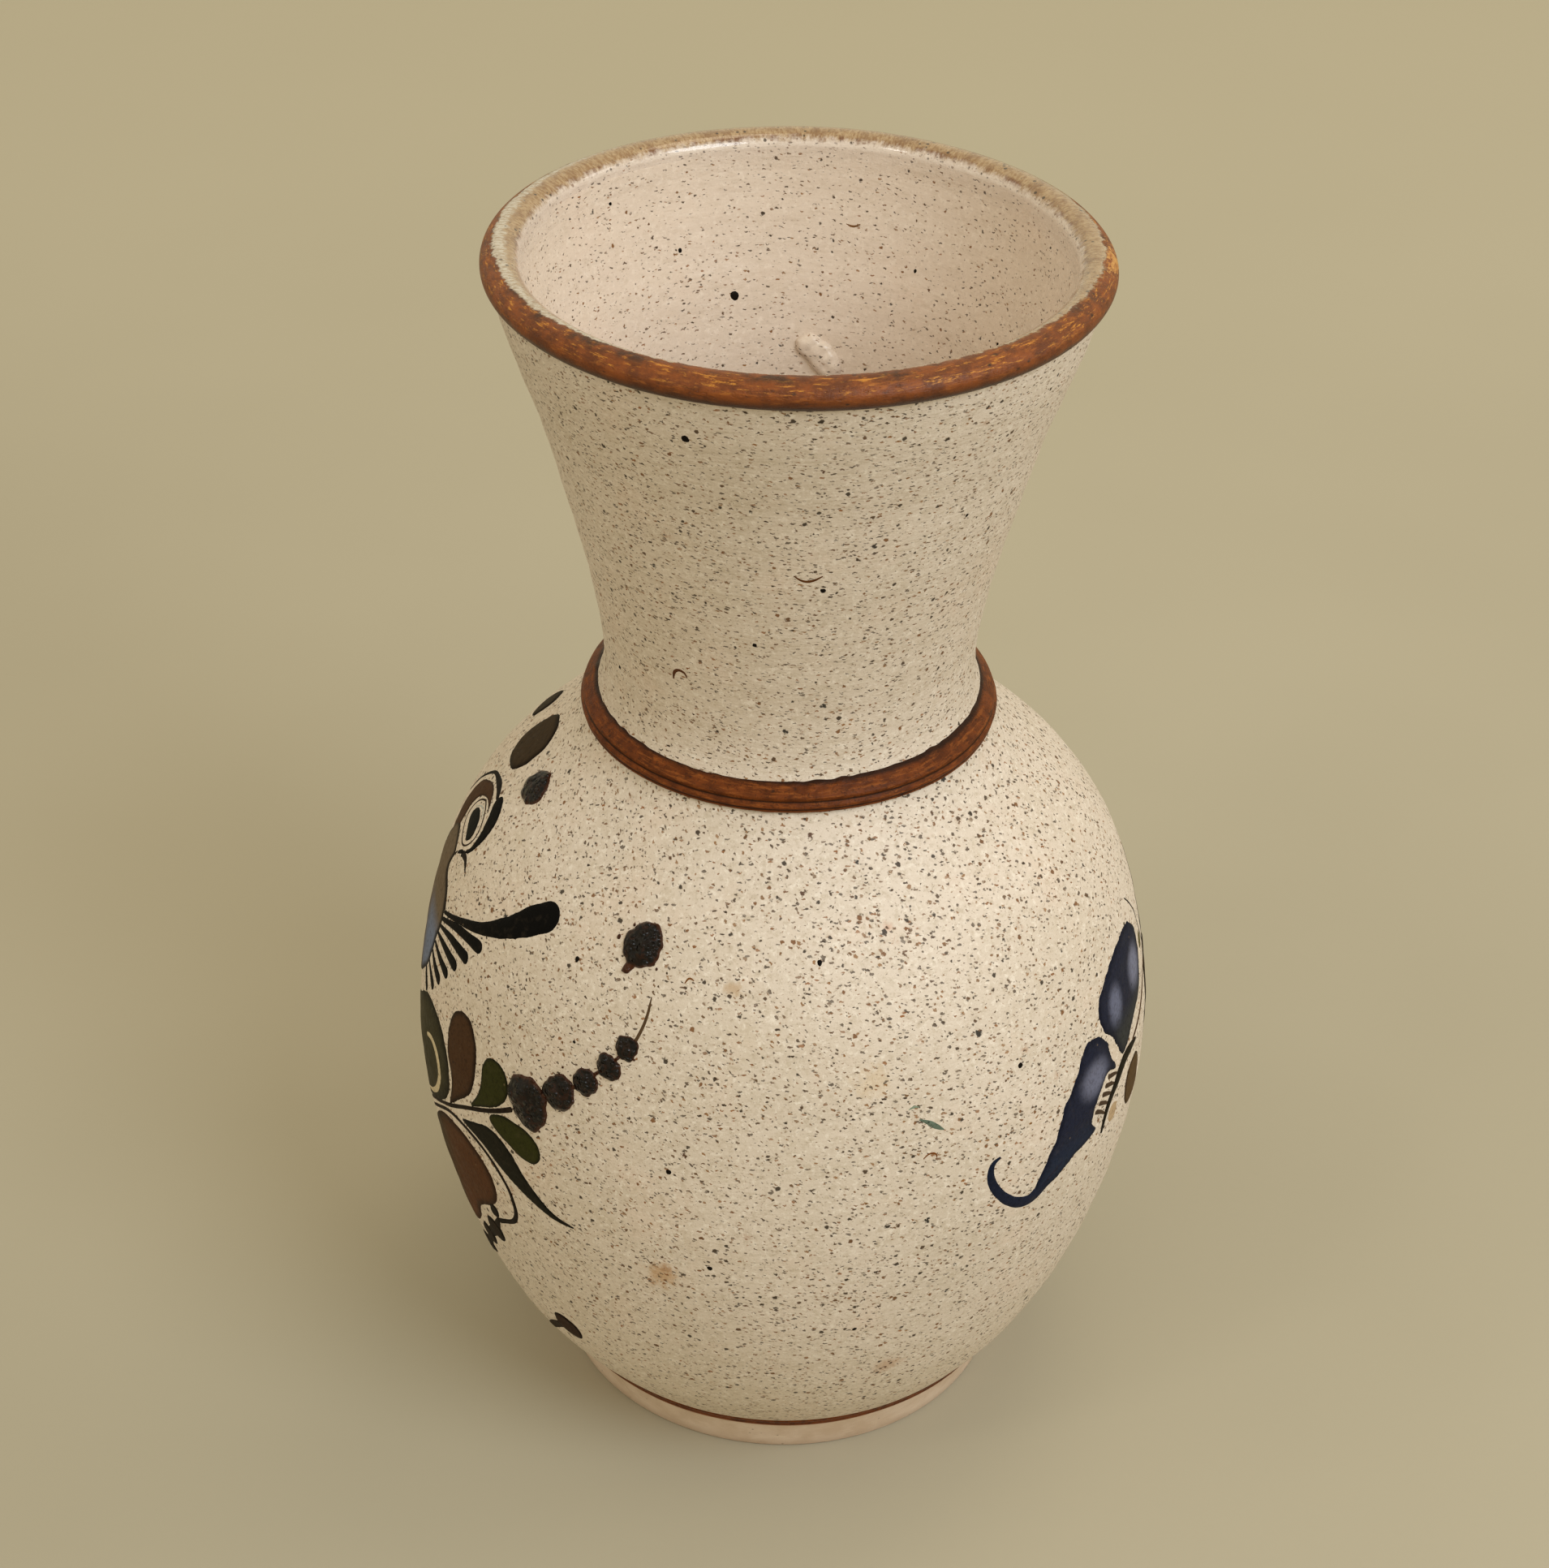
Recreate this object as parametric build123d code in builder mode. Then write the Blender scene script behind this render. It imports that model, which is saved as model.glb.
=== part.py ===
from build123d import *
import os
from math import cos, hypot, radians, sin

# Speckled stoneware vase with a flared neck, thrown in two sections on the wheel.
# Millimetres. The origin is the centre of the plane the foot stands on, +Z is up the
# axis of the pot. Outlines are half sections, written as (radius, height).

# ---- Driving dimensions ----
HEIGHT = 255.0                 # standing plane to the crown of the lip
BELLY_RADIUS = 75.75           # widest point of the pot
BELLY_HEIGHT = 84.0            # height of that widest point
THROAT_RADIUS = 36.1           # narrowest outside radius of the neck
THROAT_HEIGHT = 171.0
THROAT_BORE = 30.3             # inside radius at the throat
MOUTH_RADIUS = 57.15           # outside radius of the rolled lip
JOIN_HEIGHT = 161.5            # where the neck is set on the belly
JOIN_RADIUS = 38.6             # outside radius at that join
JOIN_BORE = 31.3               # inside radius at that join
FLOOR_TOP = 14.5               # inside floor of the pot
FLOOR_UNDER = 7.0              # underside of the floor, inside the foot ring

# ---- Foot ring ----
FOOT_HEIGHT = 10.7             # height of the crease between foot and belly
FOOT_TOP_RADIUS = 50.9         # radius of that crease
FOOT_RADIUS = 47.6             # outside radius at the standing plane
FOOT_BORE = 38.0               # inside radius where the floor drops in
FOOT_BORE_FLARE = 1.4          # how much the bore opens towards the standing plane
FOOT_EDGE = 0.8                # rounding of the two standing edges

# ---- Lip and cordon ----
LIP_WIDTH = 7.1                # radial width of the rolled lip
LIP_DEPTH = 5.6                # its height
LIP_SEAT = HEIGHT - 3.6        # top of the neck wall, buried in the lip
SEAT_RADIUS = 55.5             # outside radius of the neck wall at that seat
SEAT_BORE = 50.3               # inside radius of the neck wall at that seat
CORDON_BOTTOM = (39.75, 158.6)  # lower edge of the cordon, on the belly
CORDON_TOP = (37.5, 163.9)     # upper edge of the cordon, on the neck
CORDON_CREST = (39.9, 162.2)   # the crest of its main ridge
CORDON_GROOVE = (40.35, 160.9)  # the turned groove above its lower bead
CORDON_BEAD = (40.75, 160.0)    # the lower bead
CORDON_DEPTH = 2.0             # how deep its section reaches before the walls cut it

# ---- Slip line in the crease of the foot ----
LINE_BELOW = 0.9               # how far it comes down the foot
LINE_ABOVE = 1.3               # how far it goes up the belly
LINE_PROUD = 0.35              # how far it stands off the clay

# ---- Walls ----
BELLY_OUTSIDE = [
    (FOOT_TOP_RADIUS, FOOT_HEIGHT),
    (62.3, 28.1),
    (70.0, 48.5),
    (74.5, 68.9),
    (BELLY_RADIUS, BELLY_HEIGHT),
    (73.6, 104.6),
    (67.4, 125.0),
    (56.6, 140.3),
    (46.0, 150.1),
    (41.1, 156.0),
    (JOIN_RADIUS, JOIN_HEIGHT),
]
BELLY_INSIDE = [
    (JOIN_BORE, JOIN_HEIGHT),
    (34.6, 154.0),
    (42.5, 145.2),
    (52.0, 135.2),
    (61.4, 121.6),
    (67.2, 103.4),
    (69.4, BELLY_HEIGHT),
    (68.0, 67.8),
    (62.8, 47.5),
    (54.0, 29.5),
    (40.5, 18.2),
    (26.0, FLOOR_TOP),
]
NECK_OUTSIDE = [
    (JOIN_RADIUS, JOIN_HEIGHT),
    (36.9, 165.3),
    (THROAT_RADIUS, THROAT_HEIGHT),
    (37.0, 181.0),
    (39.4, 194.0),
    (43.2, 209.1),
    (47.3, 224.4),
    (51.7, 237.3),
    (SEAT_RADIUS, LIP_SEAT),
]
NECK_INSIDE = [
    (SEAT_BORE, LIP_SEAT),
    (46.6, 236.5),
    (42.0, 223.0),
    (37.8, 208.2),
    (34.0, 193.4),
    (31.4, 181.0),
    (THROAT_BORE, THROAT_HEIGHT),
    (JOIN_BORE, JOIN_HEIGHT),
]

# ---- Raised drops of glossy slip ----
# Each row: name, azimuth in degrees (0 faces -Y, positive towards +X), height of its
# centre, radius of the drop, and how far it stands proud of the wall.
DROPS = [
    ("berry_1", -40.7, 101.3, 5.5, 1.5),
    ("berry_2", -34.9, 106.9, 3.8, 1.3),
    ("berry_3", -30.6, 111.4, 2.8, 1.1),
    ("berry_4", -27.0, 116.0, 2.6, 1.0),
    ("berry_5", -24.5, 120.6, 2.4, 0.9),
    ("shoulder_drop", -26.0, 137.4, 4.2, 1.5),
    ("crest_drop", -74.0, 145.4, 4.0, 1.2),
]
DROP_ROOT = 2.5                # how deep a drop's blank reaches before the wall cuts it

os.makedirs("parts", exist_ok=True)


def wall_point(edge, height):
    """The place along an outline, from 0 to 1, where it passes a height."""
    low, high = 0.0, 1.0
    for _ in range(40):
        middle = (low + high) / 2
        if edge.position_at(middle).Y < height:
            low = middle
        else:
            high = middle
    return low


def drop_plane(edge, azimuth, height):
    """The tangent plane of the wall at a drop: its z axis points out of the clay."""
    place = wall_point(edge, height)
    radius = edge.position_at(place).X
    along = edge.tangent_at(place)
    turn = radians(azimuth)
    origin = (radius * sin(turn), -radius * cos(turn), height)
    normal = (along.Y * sin(turn), -along.Y * cos(turn), -along.X)
    return Plane(origin=origin, z_dir=normal)


# ---- Belly: the thrown globe with its floor ----
with BuildPart() as belly:
    with BuildSketch(Plane.XZ):
        with BuildLine():
            outside = Spline(*BELLY_OUTSIDE)
            Line(outside @ 1, BELLY_INSIDE[0])
            inside = Spline(*BELLY_INSIDE)
            Polyline(
                inside @ 1,
                (0, FLOOR_TOP),
                (0, FLOOR_UNDER),
                (FOOT_BORE, FLOOR_UNDER),
                (FOOT_BORE, FOOT_HEIGHT),
                outside @ 0,
            )
        make_face()
    revolve(axis=Axis.Z)
belly.part.label = "belly"
export_step(belly.part, "parts/belly.step")

# ---- Neck: the thrown collar that flares to the mouth ----
with BuildPart() as neck:
    with BuildSketch(Plane.XZ):
        with BuildLine():
            outside = Spline(*NECK_OUTSIDE)
            Line(outside @ 1, NECK_INSIDE[0])
            inside = Spline(*NECK_INSIDE)
            Line(inside @ 1, outside @ 0)
        make_face()
    revolve(axis=Axis.Z)
neck.part.label = "neck"
export_step(neck.part, "parts/neck.step")

# ---- Rolled lip: an oval roll of clay wrapped over the top edge of the neck ----
lip_radius = MOUTH_RADIUS - LIP_WIDTH / 2
lip_height = HEIGHT - LIP_DEPTH / 2
with BuildPart() as rim_roll:
    with BuildSketch(Plane.XZ):
        with Locations((lip_radius, lip_height)):
            Ellipse(LIP_WIDTH / 2, LIP_DEPTH / 2)
    revolve(axis=Axis.Z)
    add(neck.part, mode=Mode.SUBTRACT)
rim_roll.part.label = "rim_roll"
export_step(rim_roll.part, "parts/rim_roll.step")

# ---- Cordon: a clay coil that covers the join, turned with a groove and a bead ----
with BuildPart() as neck_cordon:
    with BuildSketch(Plane.XZ):
        with BuildLine():
            face = Spline(CORDON_TOP, CORDON_CREST, CORDON_GROOVE, CORDON_BEAD, CORDON_BOTTOM)
            Polyline(
                face @ 1,
                (CORDON_BOTTOM[0] - CORDON_DEPTH, CORDON_BOTTOM[1]),
                (CORDON_TOP[0] - CORDON_DEPTH, CORDON_TOP[1]),
                face @ 0,
            )
        make_face()
    revolve(axis=Axis.Z)
    add(belly.part, mode=Mode.SUBTRACT)
    add(neck.part, mode=Mode.SUBTRACT)
neck_cordon.part.label = "neck_cordon"
export_step(neck_cordon.part, "parts/neck_cordon.step")

# ---- Foot ring: turned, leaning out to the crease, with a bore the floor drops into ----
with BuildPart() as foot_ring:
    with BuildSketch(Plane.XZ) as foot_section:
        with BuildLine():
            Polyline(
                (FOOT_RADIUS, 0),
                (FOOT_TOP_RADIUS, FOOT_HEIGHT),
                (FOOT_BORE, FOOT_HEIGHT),
                (FOOT_BORE, FLOOR_UNDER),
                (FOOT_BORE + FOOT_BORE_FLARE, 0),
                close=True,
            )
        make_face()
        fillet(foot_section.vertices().group_by(Axis.Y)[0], FOOT_EDGE)
    revolve(axis=Axis.Z)
foot_ring.part.label = "foot_ring"
export_step(foot_ring.part, "parts/foot_ring.step")

# ---- Slip line: a thin painted band of slip that fills the crease above the foot ----
lean_run = FOOT_TOP_RADIUS - FOOT_RADIUS
lean_length = hypot(lean_run, FOOT_HEIGHT)
line_low = (
    FOOT_TOP_RADIUS - LINE_BELOW * lean_run / lean_length,
    FOOT_HEIGHT - LINE_BELOW * FOOT_HEIGHT / lean_length,
)
with BuildPart() as foot_line:
    with BuildSketch(Plane.XZ):
        with BuildLine():
            belly_edge = Spline(*BELLY_OUTSIDE, mode=Mode.PRIVATE)
            line_high = belly_edge @ (LINE_ABOVE / belly_edge.length)
            crest = (FOOT_TOP_RADIUS + 2 * LINE_PROUD, FOOT_HEIGHT + LINE_PROUD)
            ThreePointArc(line_low, crest, line_high)
            Polyline(line_high, (FOOT_TOP_RADIUS - 1, FOOT_HEIGHT), line_low)
        make_face()
    revolve(axis=Axis.Z)
    add(belly.part, mode=Mode.SUBTRACT)
    add(foot_ring.part, mode=Mode.SUBTRACT)
foot_line.part.label = "foot_line"
export_step(foot_line.part, "parts/foot_line.step")

# ---- Drops: domes of thick slip that stand on the belly ----
belly_outline = Edge.make_spline([Vector(*point) for point in BELLY_OUTSIDE])
for name, azimuth, height, drop_radius, proud in DROPS:
    dome = (drop_radius**2 + proud**2) / (2 * proud)
    seat = drop_plane(belly_outline, azimuth, height)
    with BuildPart() as drop:
        with BuildSketch(seat.offset(-DROP_ROOT)):
            Circle(drop_radius)
        extrude(amount=DROP_ROOT + proud)
        with Locations(seat * Location((0, 0, proud - dome))):
            Sphere(dome, mode=Mode.INTERSECT)
        add(belly.part, mode=Mode.SUBTRACT)
    drop.part.label = name
    export_step(drop.part, "parts/" + name + ".step")
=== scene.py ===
"""Looks of the speckled stoneware vase. Lengths in the helper functions are millimetres, and the
built meshes are metres. Azimuth 0 is the front (-Y) and grows towards +X; heights are above the foot."""

import math

import bpy
import numpy as np
from mathutils import Matrix, Vector
from mathutils.geometry import delaunay_2d_cdt


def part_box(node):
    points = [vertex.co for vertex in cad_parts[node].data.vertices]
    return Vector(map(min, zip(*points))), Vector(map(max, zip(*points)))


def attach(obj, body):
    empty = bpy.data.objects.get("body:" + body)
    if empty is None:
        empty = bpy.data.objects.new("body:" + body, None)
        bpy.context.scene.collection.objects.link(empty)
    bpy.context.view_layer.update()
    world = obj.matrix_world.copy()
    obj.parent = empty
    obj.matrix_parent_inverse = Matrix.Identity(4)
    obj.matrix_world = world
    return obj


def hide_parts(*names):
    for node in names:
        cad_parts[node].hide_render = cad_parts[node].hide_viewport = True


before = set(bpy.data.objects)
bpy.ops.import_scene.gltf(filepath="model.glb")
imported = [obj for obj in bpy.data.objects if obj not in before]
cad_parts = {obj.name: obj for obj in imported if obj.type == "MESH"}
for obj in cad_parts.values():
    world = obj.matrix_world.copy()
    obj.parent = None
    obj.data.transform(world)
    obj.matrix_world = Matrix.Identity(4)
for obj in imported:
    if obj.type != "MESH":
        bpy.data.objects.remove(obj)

MM = 0.001
scene = bpy.context.scene
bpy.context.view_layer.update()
rng = np.random.default_rng(71)


# ---------------------------------------------------------------- curves and the wall


def spline(points, step=0.25, closed=False):
    """Natural cubic spline through points (N, k), resampled at about that step along its length."""
    p = np.asarray(points, float)
    if closed:
        k = min(len(p), 4)
        p = np.vstack([p[-k:], p, p[: k + 1]])
    d = np.r_[0, np.cumsum(np.linalg.norm(np.diff(p, axis=0), axis=1))]
    n = len(p)
    h = np.diff(d)
    a = np.zeros((n, n))
    a[0, 0] = a[-1, -1] = 1
    b = np.zeros((n, p.shape[1]))
    for i in range(1, n - 1):
        a[i, i - 1 : i + 2] = h[i - 1], 2 * (h[i - 1] + h[i]), h[i]
        b[i] = 3 * ((p[i + 1] - p[i]) / h[i] - (p[i] - p[i - 1]) / h[i - 1])
    c = np.linalg.solve(a, b)
    lo, hi = (d[k], d[-k - 1]) if closed else (0, d[-1])
    count = max(8, int(round((hi - lo) / step)))
    t = np.linspace(lo, hi, count + 1)
    if closed:
        t = t[:-1]
    i = np.clip(np.searchsorted(d, t, "right") - 1, 0, n - 2)
    w = (t - d[i])[:, None]
    span = h[i][:, None]
    slope = (p[i + 1] - p[i]) / span - span * (2 * c[i] + c[i + 1]) / 3
    return p[i] + slope * w + c[i] * w**2 + (c[i + 1] - c[i]) / (3 * span) * w**3


def section(node):
    """(radius, height) of every vertex of a CAD node of revolution, in millimetres."""
    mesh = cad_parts[node].data
    co = np.empty(len(mesh.vertices) * 3, np.float32)
    mesh.vertices.foreach_get("co", co)
    co = co.reshape(-1, 3) * 1000
    return np.c_[np.hypot(co[:, 0], co[:, 1]), co[:, 2]].astype(float)


def thin(points, gap):
    """Points sorted by height with at least that gap between neighbours, both ends kept."""
    points = points[np.argsort(points[:, 1])]
    kept = [points[0]]
    for q in points[1:]:
        if np.linalg.norm(q - kept[-1]) >= gap:
            kept.append(q)
    if np.linalg.norm(points[-1] - kept[-1]) < gap * 0.6:
        kept[-1] = points[-1]
    else:
        kept.append(points[-1])
    return np.array(kept)


def walls(node, floor_top, window):
    """Outer and inner profile of a hollow CAD node, each from its foot to its top."""
    p = section(node)
    outer, inner = [], []
    low = p[:, 1] < floor_top + 0.1
    for q in p[~low]:
        near = p[np.abs(p[:, 1] - q[1]) < window, 0]
        (outer if q[0] > (near.max() + near.min()) / 2 else inner).append(q)
    foot = p[low & (p[:, 0] > FLOOR_RADIUS)]
    return thin(np.vstack([foot, outer]), 3.0), thin(np.array(inner), 3.0)


FLOOR_RADIUS, FLOOR_TOP, FLOOR_UNDERSIDE, RECESS_RADIUS = 45.0, 14.5, 7.0, 38.0
belly_out, belly_in = walls("belly", FLOOR_TOP, 1.2)
neck_out, neck_in = walls("neck", 0.0, 4.0)


class Wall:
    """A wall profile as tables along its own length: radius, height and the normal of its open side."""

    def __init__(self, points, side=1):
        self.p = spline(points, 0.2)
        self.side = side
        d = np.gradient(self.p, axis=0)
        d /= np.linalg.norm(d, axis=1)[:, None]
        self.n = np.c_[d[:, 1], -d[:, 0]] * side
        self.s = np.r_[0, np.cumsum(np.linalg.norm(np.diff(self.p, axis=0), axis=1))]

    def s_at(self, height):
        return np.interp(height, self.p[:, 1], self.s)

    def at(self, s):
        return [np.interp(s, self.s, c) for c in (*self.p.T, *self.n.T)]


# the lining runs in a smooth curve into the lip
CURVE_FROM, CURVE_TALL, LINING_TOP_RADIUS = 238, 13, 50.25
rise = np.clip((neck_in[:, 1] - CURVE_FROM) / CURVE_TALL, 0, 1)
neck_in[:, 0] -= (neck_in[-1, 0] - LINING_TOP_RADIUS) * rise * rise * (3 - 2 * rise)
belly_wall, neck_wall, neck_lining = Wall(belly_out), Wall(neck_out), Wall(neck_in, -1)


def hand(az, height):
    """How far the hand-thrown wall stands off a true body of rotation, in millimetres. The waves run
    round and up the wall, and the last term sets the foot a little off the middle."""
    return (
        0.16 * np.sin(2 * az + 0.9 + height * 0.012)
        + 0.07 * np.sin(3 * az - 0.4 - height * 0.03)
        + 0.045 * np.sin(height * 0.55 + 1.3 * np.sin(az + 0.7))
        + 0.03 * np.sin(height * 1.13 - az)
        + 0.7 * np.sin(az) * np.clip((26 - height) / 15, 0, 1)
    )


def place(az, s, lift, wall=belly_wall):
    """Points on the wall, lifted off it along its normal. az in radians, s along the profile."""
    r, z, nr, nz = wall.at(s)
    r = r + hand(az, z) + lift * nr
    z = z + lift * nz
    return np.c_[r * np.sin(az), -r * np.cos(az), z] * MM


# ---------------------------------------------------------------- colours and node helpers


def linear(rgb):
    """Linear colour of an sRGB colour given as 0 to 255."""
    c = np.asarray(rgb, float) / 255
    return np.where(c <= 0.04045, c / 12.92, ((c + 0.055) / 1.055) ** 2.4)


def rgba(rgb):
    return (*[float(x) for x in linear(rgb)], 1.0)


class Shader:
    """A node material. Numbers, colours and sockets can all be given as inputs."""

    def __init__(self, name):
        self.m = bpy.data.materials.new(name)
        self.m.use_nodes = True
        self.t = self.m.node_tree
        self.bsdf = self.t.nodes["Principled BSDF"]
        coords = self.t.nodes.new("ShaderNodeTexCoord").outputs["Object"]
        self.mm = self.vec("SCALE", coords, scale=1000)
        split = self.t.nodes.new("ShaderNodeSeparateXYZ")
        self.t.links.new(self.mm, split.inputs[0])
        self.z = split.outputs[2]

    def put(self, socket, value):
        if isinstance(value, bpy.types.NodeSocket):
            self.t.links.new(value, socket)
        elif value is not None:
            socket.default_value = value

    def math(self, op, a, b=None, c=None, clamp=False):
        n = self.t.nodes.new("ShaderNodeMath")
        n.operation = op
        n.use_clamp = clamp
        for socket, value in zip(n.inputs, (a, b, c)):
            self.put(socket, value)
        return n.outputs[0]

    def mul(self, a, b):
        return self.math("MULTIPLY", a, b)

    def add(self, a, b):
        return self.math("ADD", a, b)

    def sub(self, a, b):
        return self.math("SUBTRACT", a, b)

    def vadd(self, a, b):
        return self.vec("ADD", a, b)

    def vec(self, op, a, b=None, scale=None):
        n = self.t.nodes.new("ShaderNodeVectorMath")
        n.operation = op
        self.put(n.inputs[0], a)
        if b is not None:
            self.put(n.inputs[1], b)
        if scale is not None:
            self.put(n.inputs["Scale"], scale)
        return n.outputs["Value"] if op in ("LENGTH", "DISTANCE") else n.outputs[0]

    def noise(self, scale, detail=2.0, rough=0.5, at=None, stretch=None, colour=False):
        """Noise whose features are about 1/scale millimetres across."""
        at = self.mm if at is None else at
        if stretch:
            at = self.vec("MULTIPLY", at, stretch)
        n = self.t.nodes.new("ShaderNodeTexNoise")
        self.put(n.inputs["Vector"], at)
        n.inputs["Scale"].default_value = scale
        n.inputs["Detail"].default_value = detail
        n.inputs["Roughness"].default_value = rough
        return n.outputs["Color" if colour else "Fac"]

    def cells(self, spacing, at):
        """Distance to the nearest random point in millimetres, and that cell's random colour."""
        n = self.t.nodes.new("ShaderNodeTexVoronoi")
        self.put(n.inputs["Vector"], at)
        n.inputs["Scale"].default_value = 1 / spacing
        split = self.t.nodes.new("ShaderNodeSeparateColor")
        self.t.links.new(n.outputs["Color"], split.inputs[0])
        return self.mul(n.outputs["Distance"], spacing), split.outputs

    def ramp(self, kind, *values):
        n = self.t.nodes.new("ShaderNodeMapRange")
        n.interpolation_type = kind
        for name, value in zip(("Value", "From Min", "From Max", "To Min", "To Max"), values):
            self.put(n.inputs[name], value)
        return n.outputs[0]

    def step(self, value, low, high, a=0.0, b=1.0):
        """From a to b in a smooth step, as the value goes from low to high."""
        return self.ramp("SMOOTHSTEP", value, low, high, a, b)

    def line(self, value, low, high, a=0.0, b=1.0):
        """From a to b in a straight line, as the value goes from low to high."""
        return self.ramp("LINEAR", value, low, high, a, b)

    def mix(self, fac, a, b, blend="MIX"):
        n = self.t.nodes.new("ShaderNodeMix")
        n.data_type = "RGBA"
        n.blend_type = blend
        self.put(n.inputs[0], fac)
        self.put(n.inputs[6], rgba(a) if isinstance(a, tuple) and len(a) == 3 else a)
        self.put(n.inputs[7], rgba(b) if isinstance(b, tuple) and len(b) == 3 else b)
        return n.outputs[2]

    def merge(self, x, y, z):
        n = self.t.nodes.new("ShaderNodeCombineXYZ")
        for socket, value in zip(n.inputs, (x, y, z)):
            self.put(socket, value)
        return n.outputs[0]

    def attribute(self, name, colour=False):
        n = self.t.nodes.new("ShaderNodeAttribute")
        n.attribute_name = name
        return n.outputs["Color" if colour else "Fac"]

    def bump(self, height, distance, strength=1.0, under=None):
        n = self.t.nodes.new("ShaderNodeBump")
        n.inputs["Strength"].default_value = strength
        n.inputs["Distance"].default_value = distance * MM
        self.put(n.inputs["Height"], height)
        if under is not None:
            self.put(n.inputs["Normal"], under)
        return n.outputs[0]

    def finish(self, colour, roughness, normal=None, specular=0.5, coat=0.0, coat_roughness=0.1):
        self.put(self.bsdf.inputs["Base Color"], colour)
        self.put(self.bsdf.inputs["Roughness"], roughness)
        if normal is not None:
            self.put(self.bsdf.inputs["Normal"], normal)
        self.bsdf.inputs["Specular IOR Level"].default_value = specular
        self.put(self.bsdf.inputs["Coat Weight"], coat)
        self.bsdf.inputs["Coat Roughness"].default_value = coat_roughness
        return self.m


def speckle(sh, at, spacing, small, large, keep, soft=0.12, shrink=0.0):
    """Random specks: 0 to 1 mask, from cells of that spacing, radii small to large, a share kept."""
    d, c = sh.cells(spacing, at)
    radius = sh.sub(sh.line(sh.mul(c[0], c[0]), 0, 1, small, large), shrink)
    mask = sh.math("MULTIPLY_ADD", sh.sub(radius, d), 1 / (2 * soft), 0.5, clamp=True)
    kept = sh.math("LESS_THAN", c[1], keep)
    return sh.mul(mask, kept), c[2], d


def on_belly(az, height):
    """A place on the belly's outside in millimetres."""
    r = float(np.interp(height, belly_wall.p[:, 1], belly_wall.p[:, 0]))
    t = math.radians(az)
    return (r * math.sin(t), -r * math.cos(t), height)


def aligned(sh, at, turn, scale, shift=(0.0, 0.0, 0.0)):
    """Coordinates turned and stretched, so that round cells become short dashes."""
    n = sh.t.nodes.new("ShaderNodeMapping")
    n.vector_type = "TEXTURE"
    sh.put(n.inputs["Vector"], at)
    n.inputs["Rotation"].default_value = [math.radians(x) for x in turn]
    n.inputs["Scale"].default_value = scale
    n.inputs["Location"].default_value = shift
    return n.outputs[0]


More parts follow.
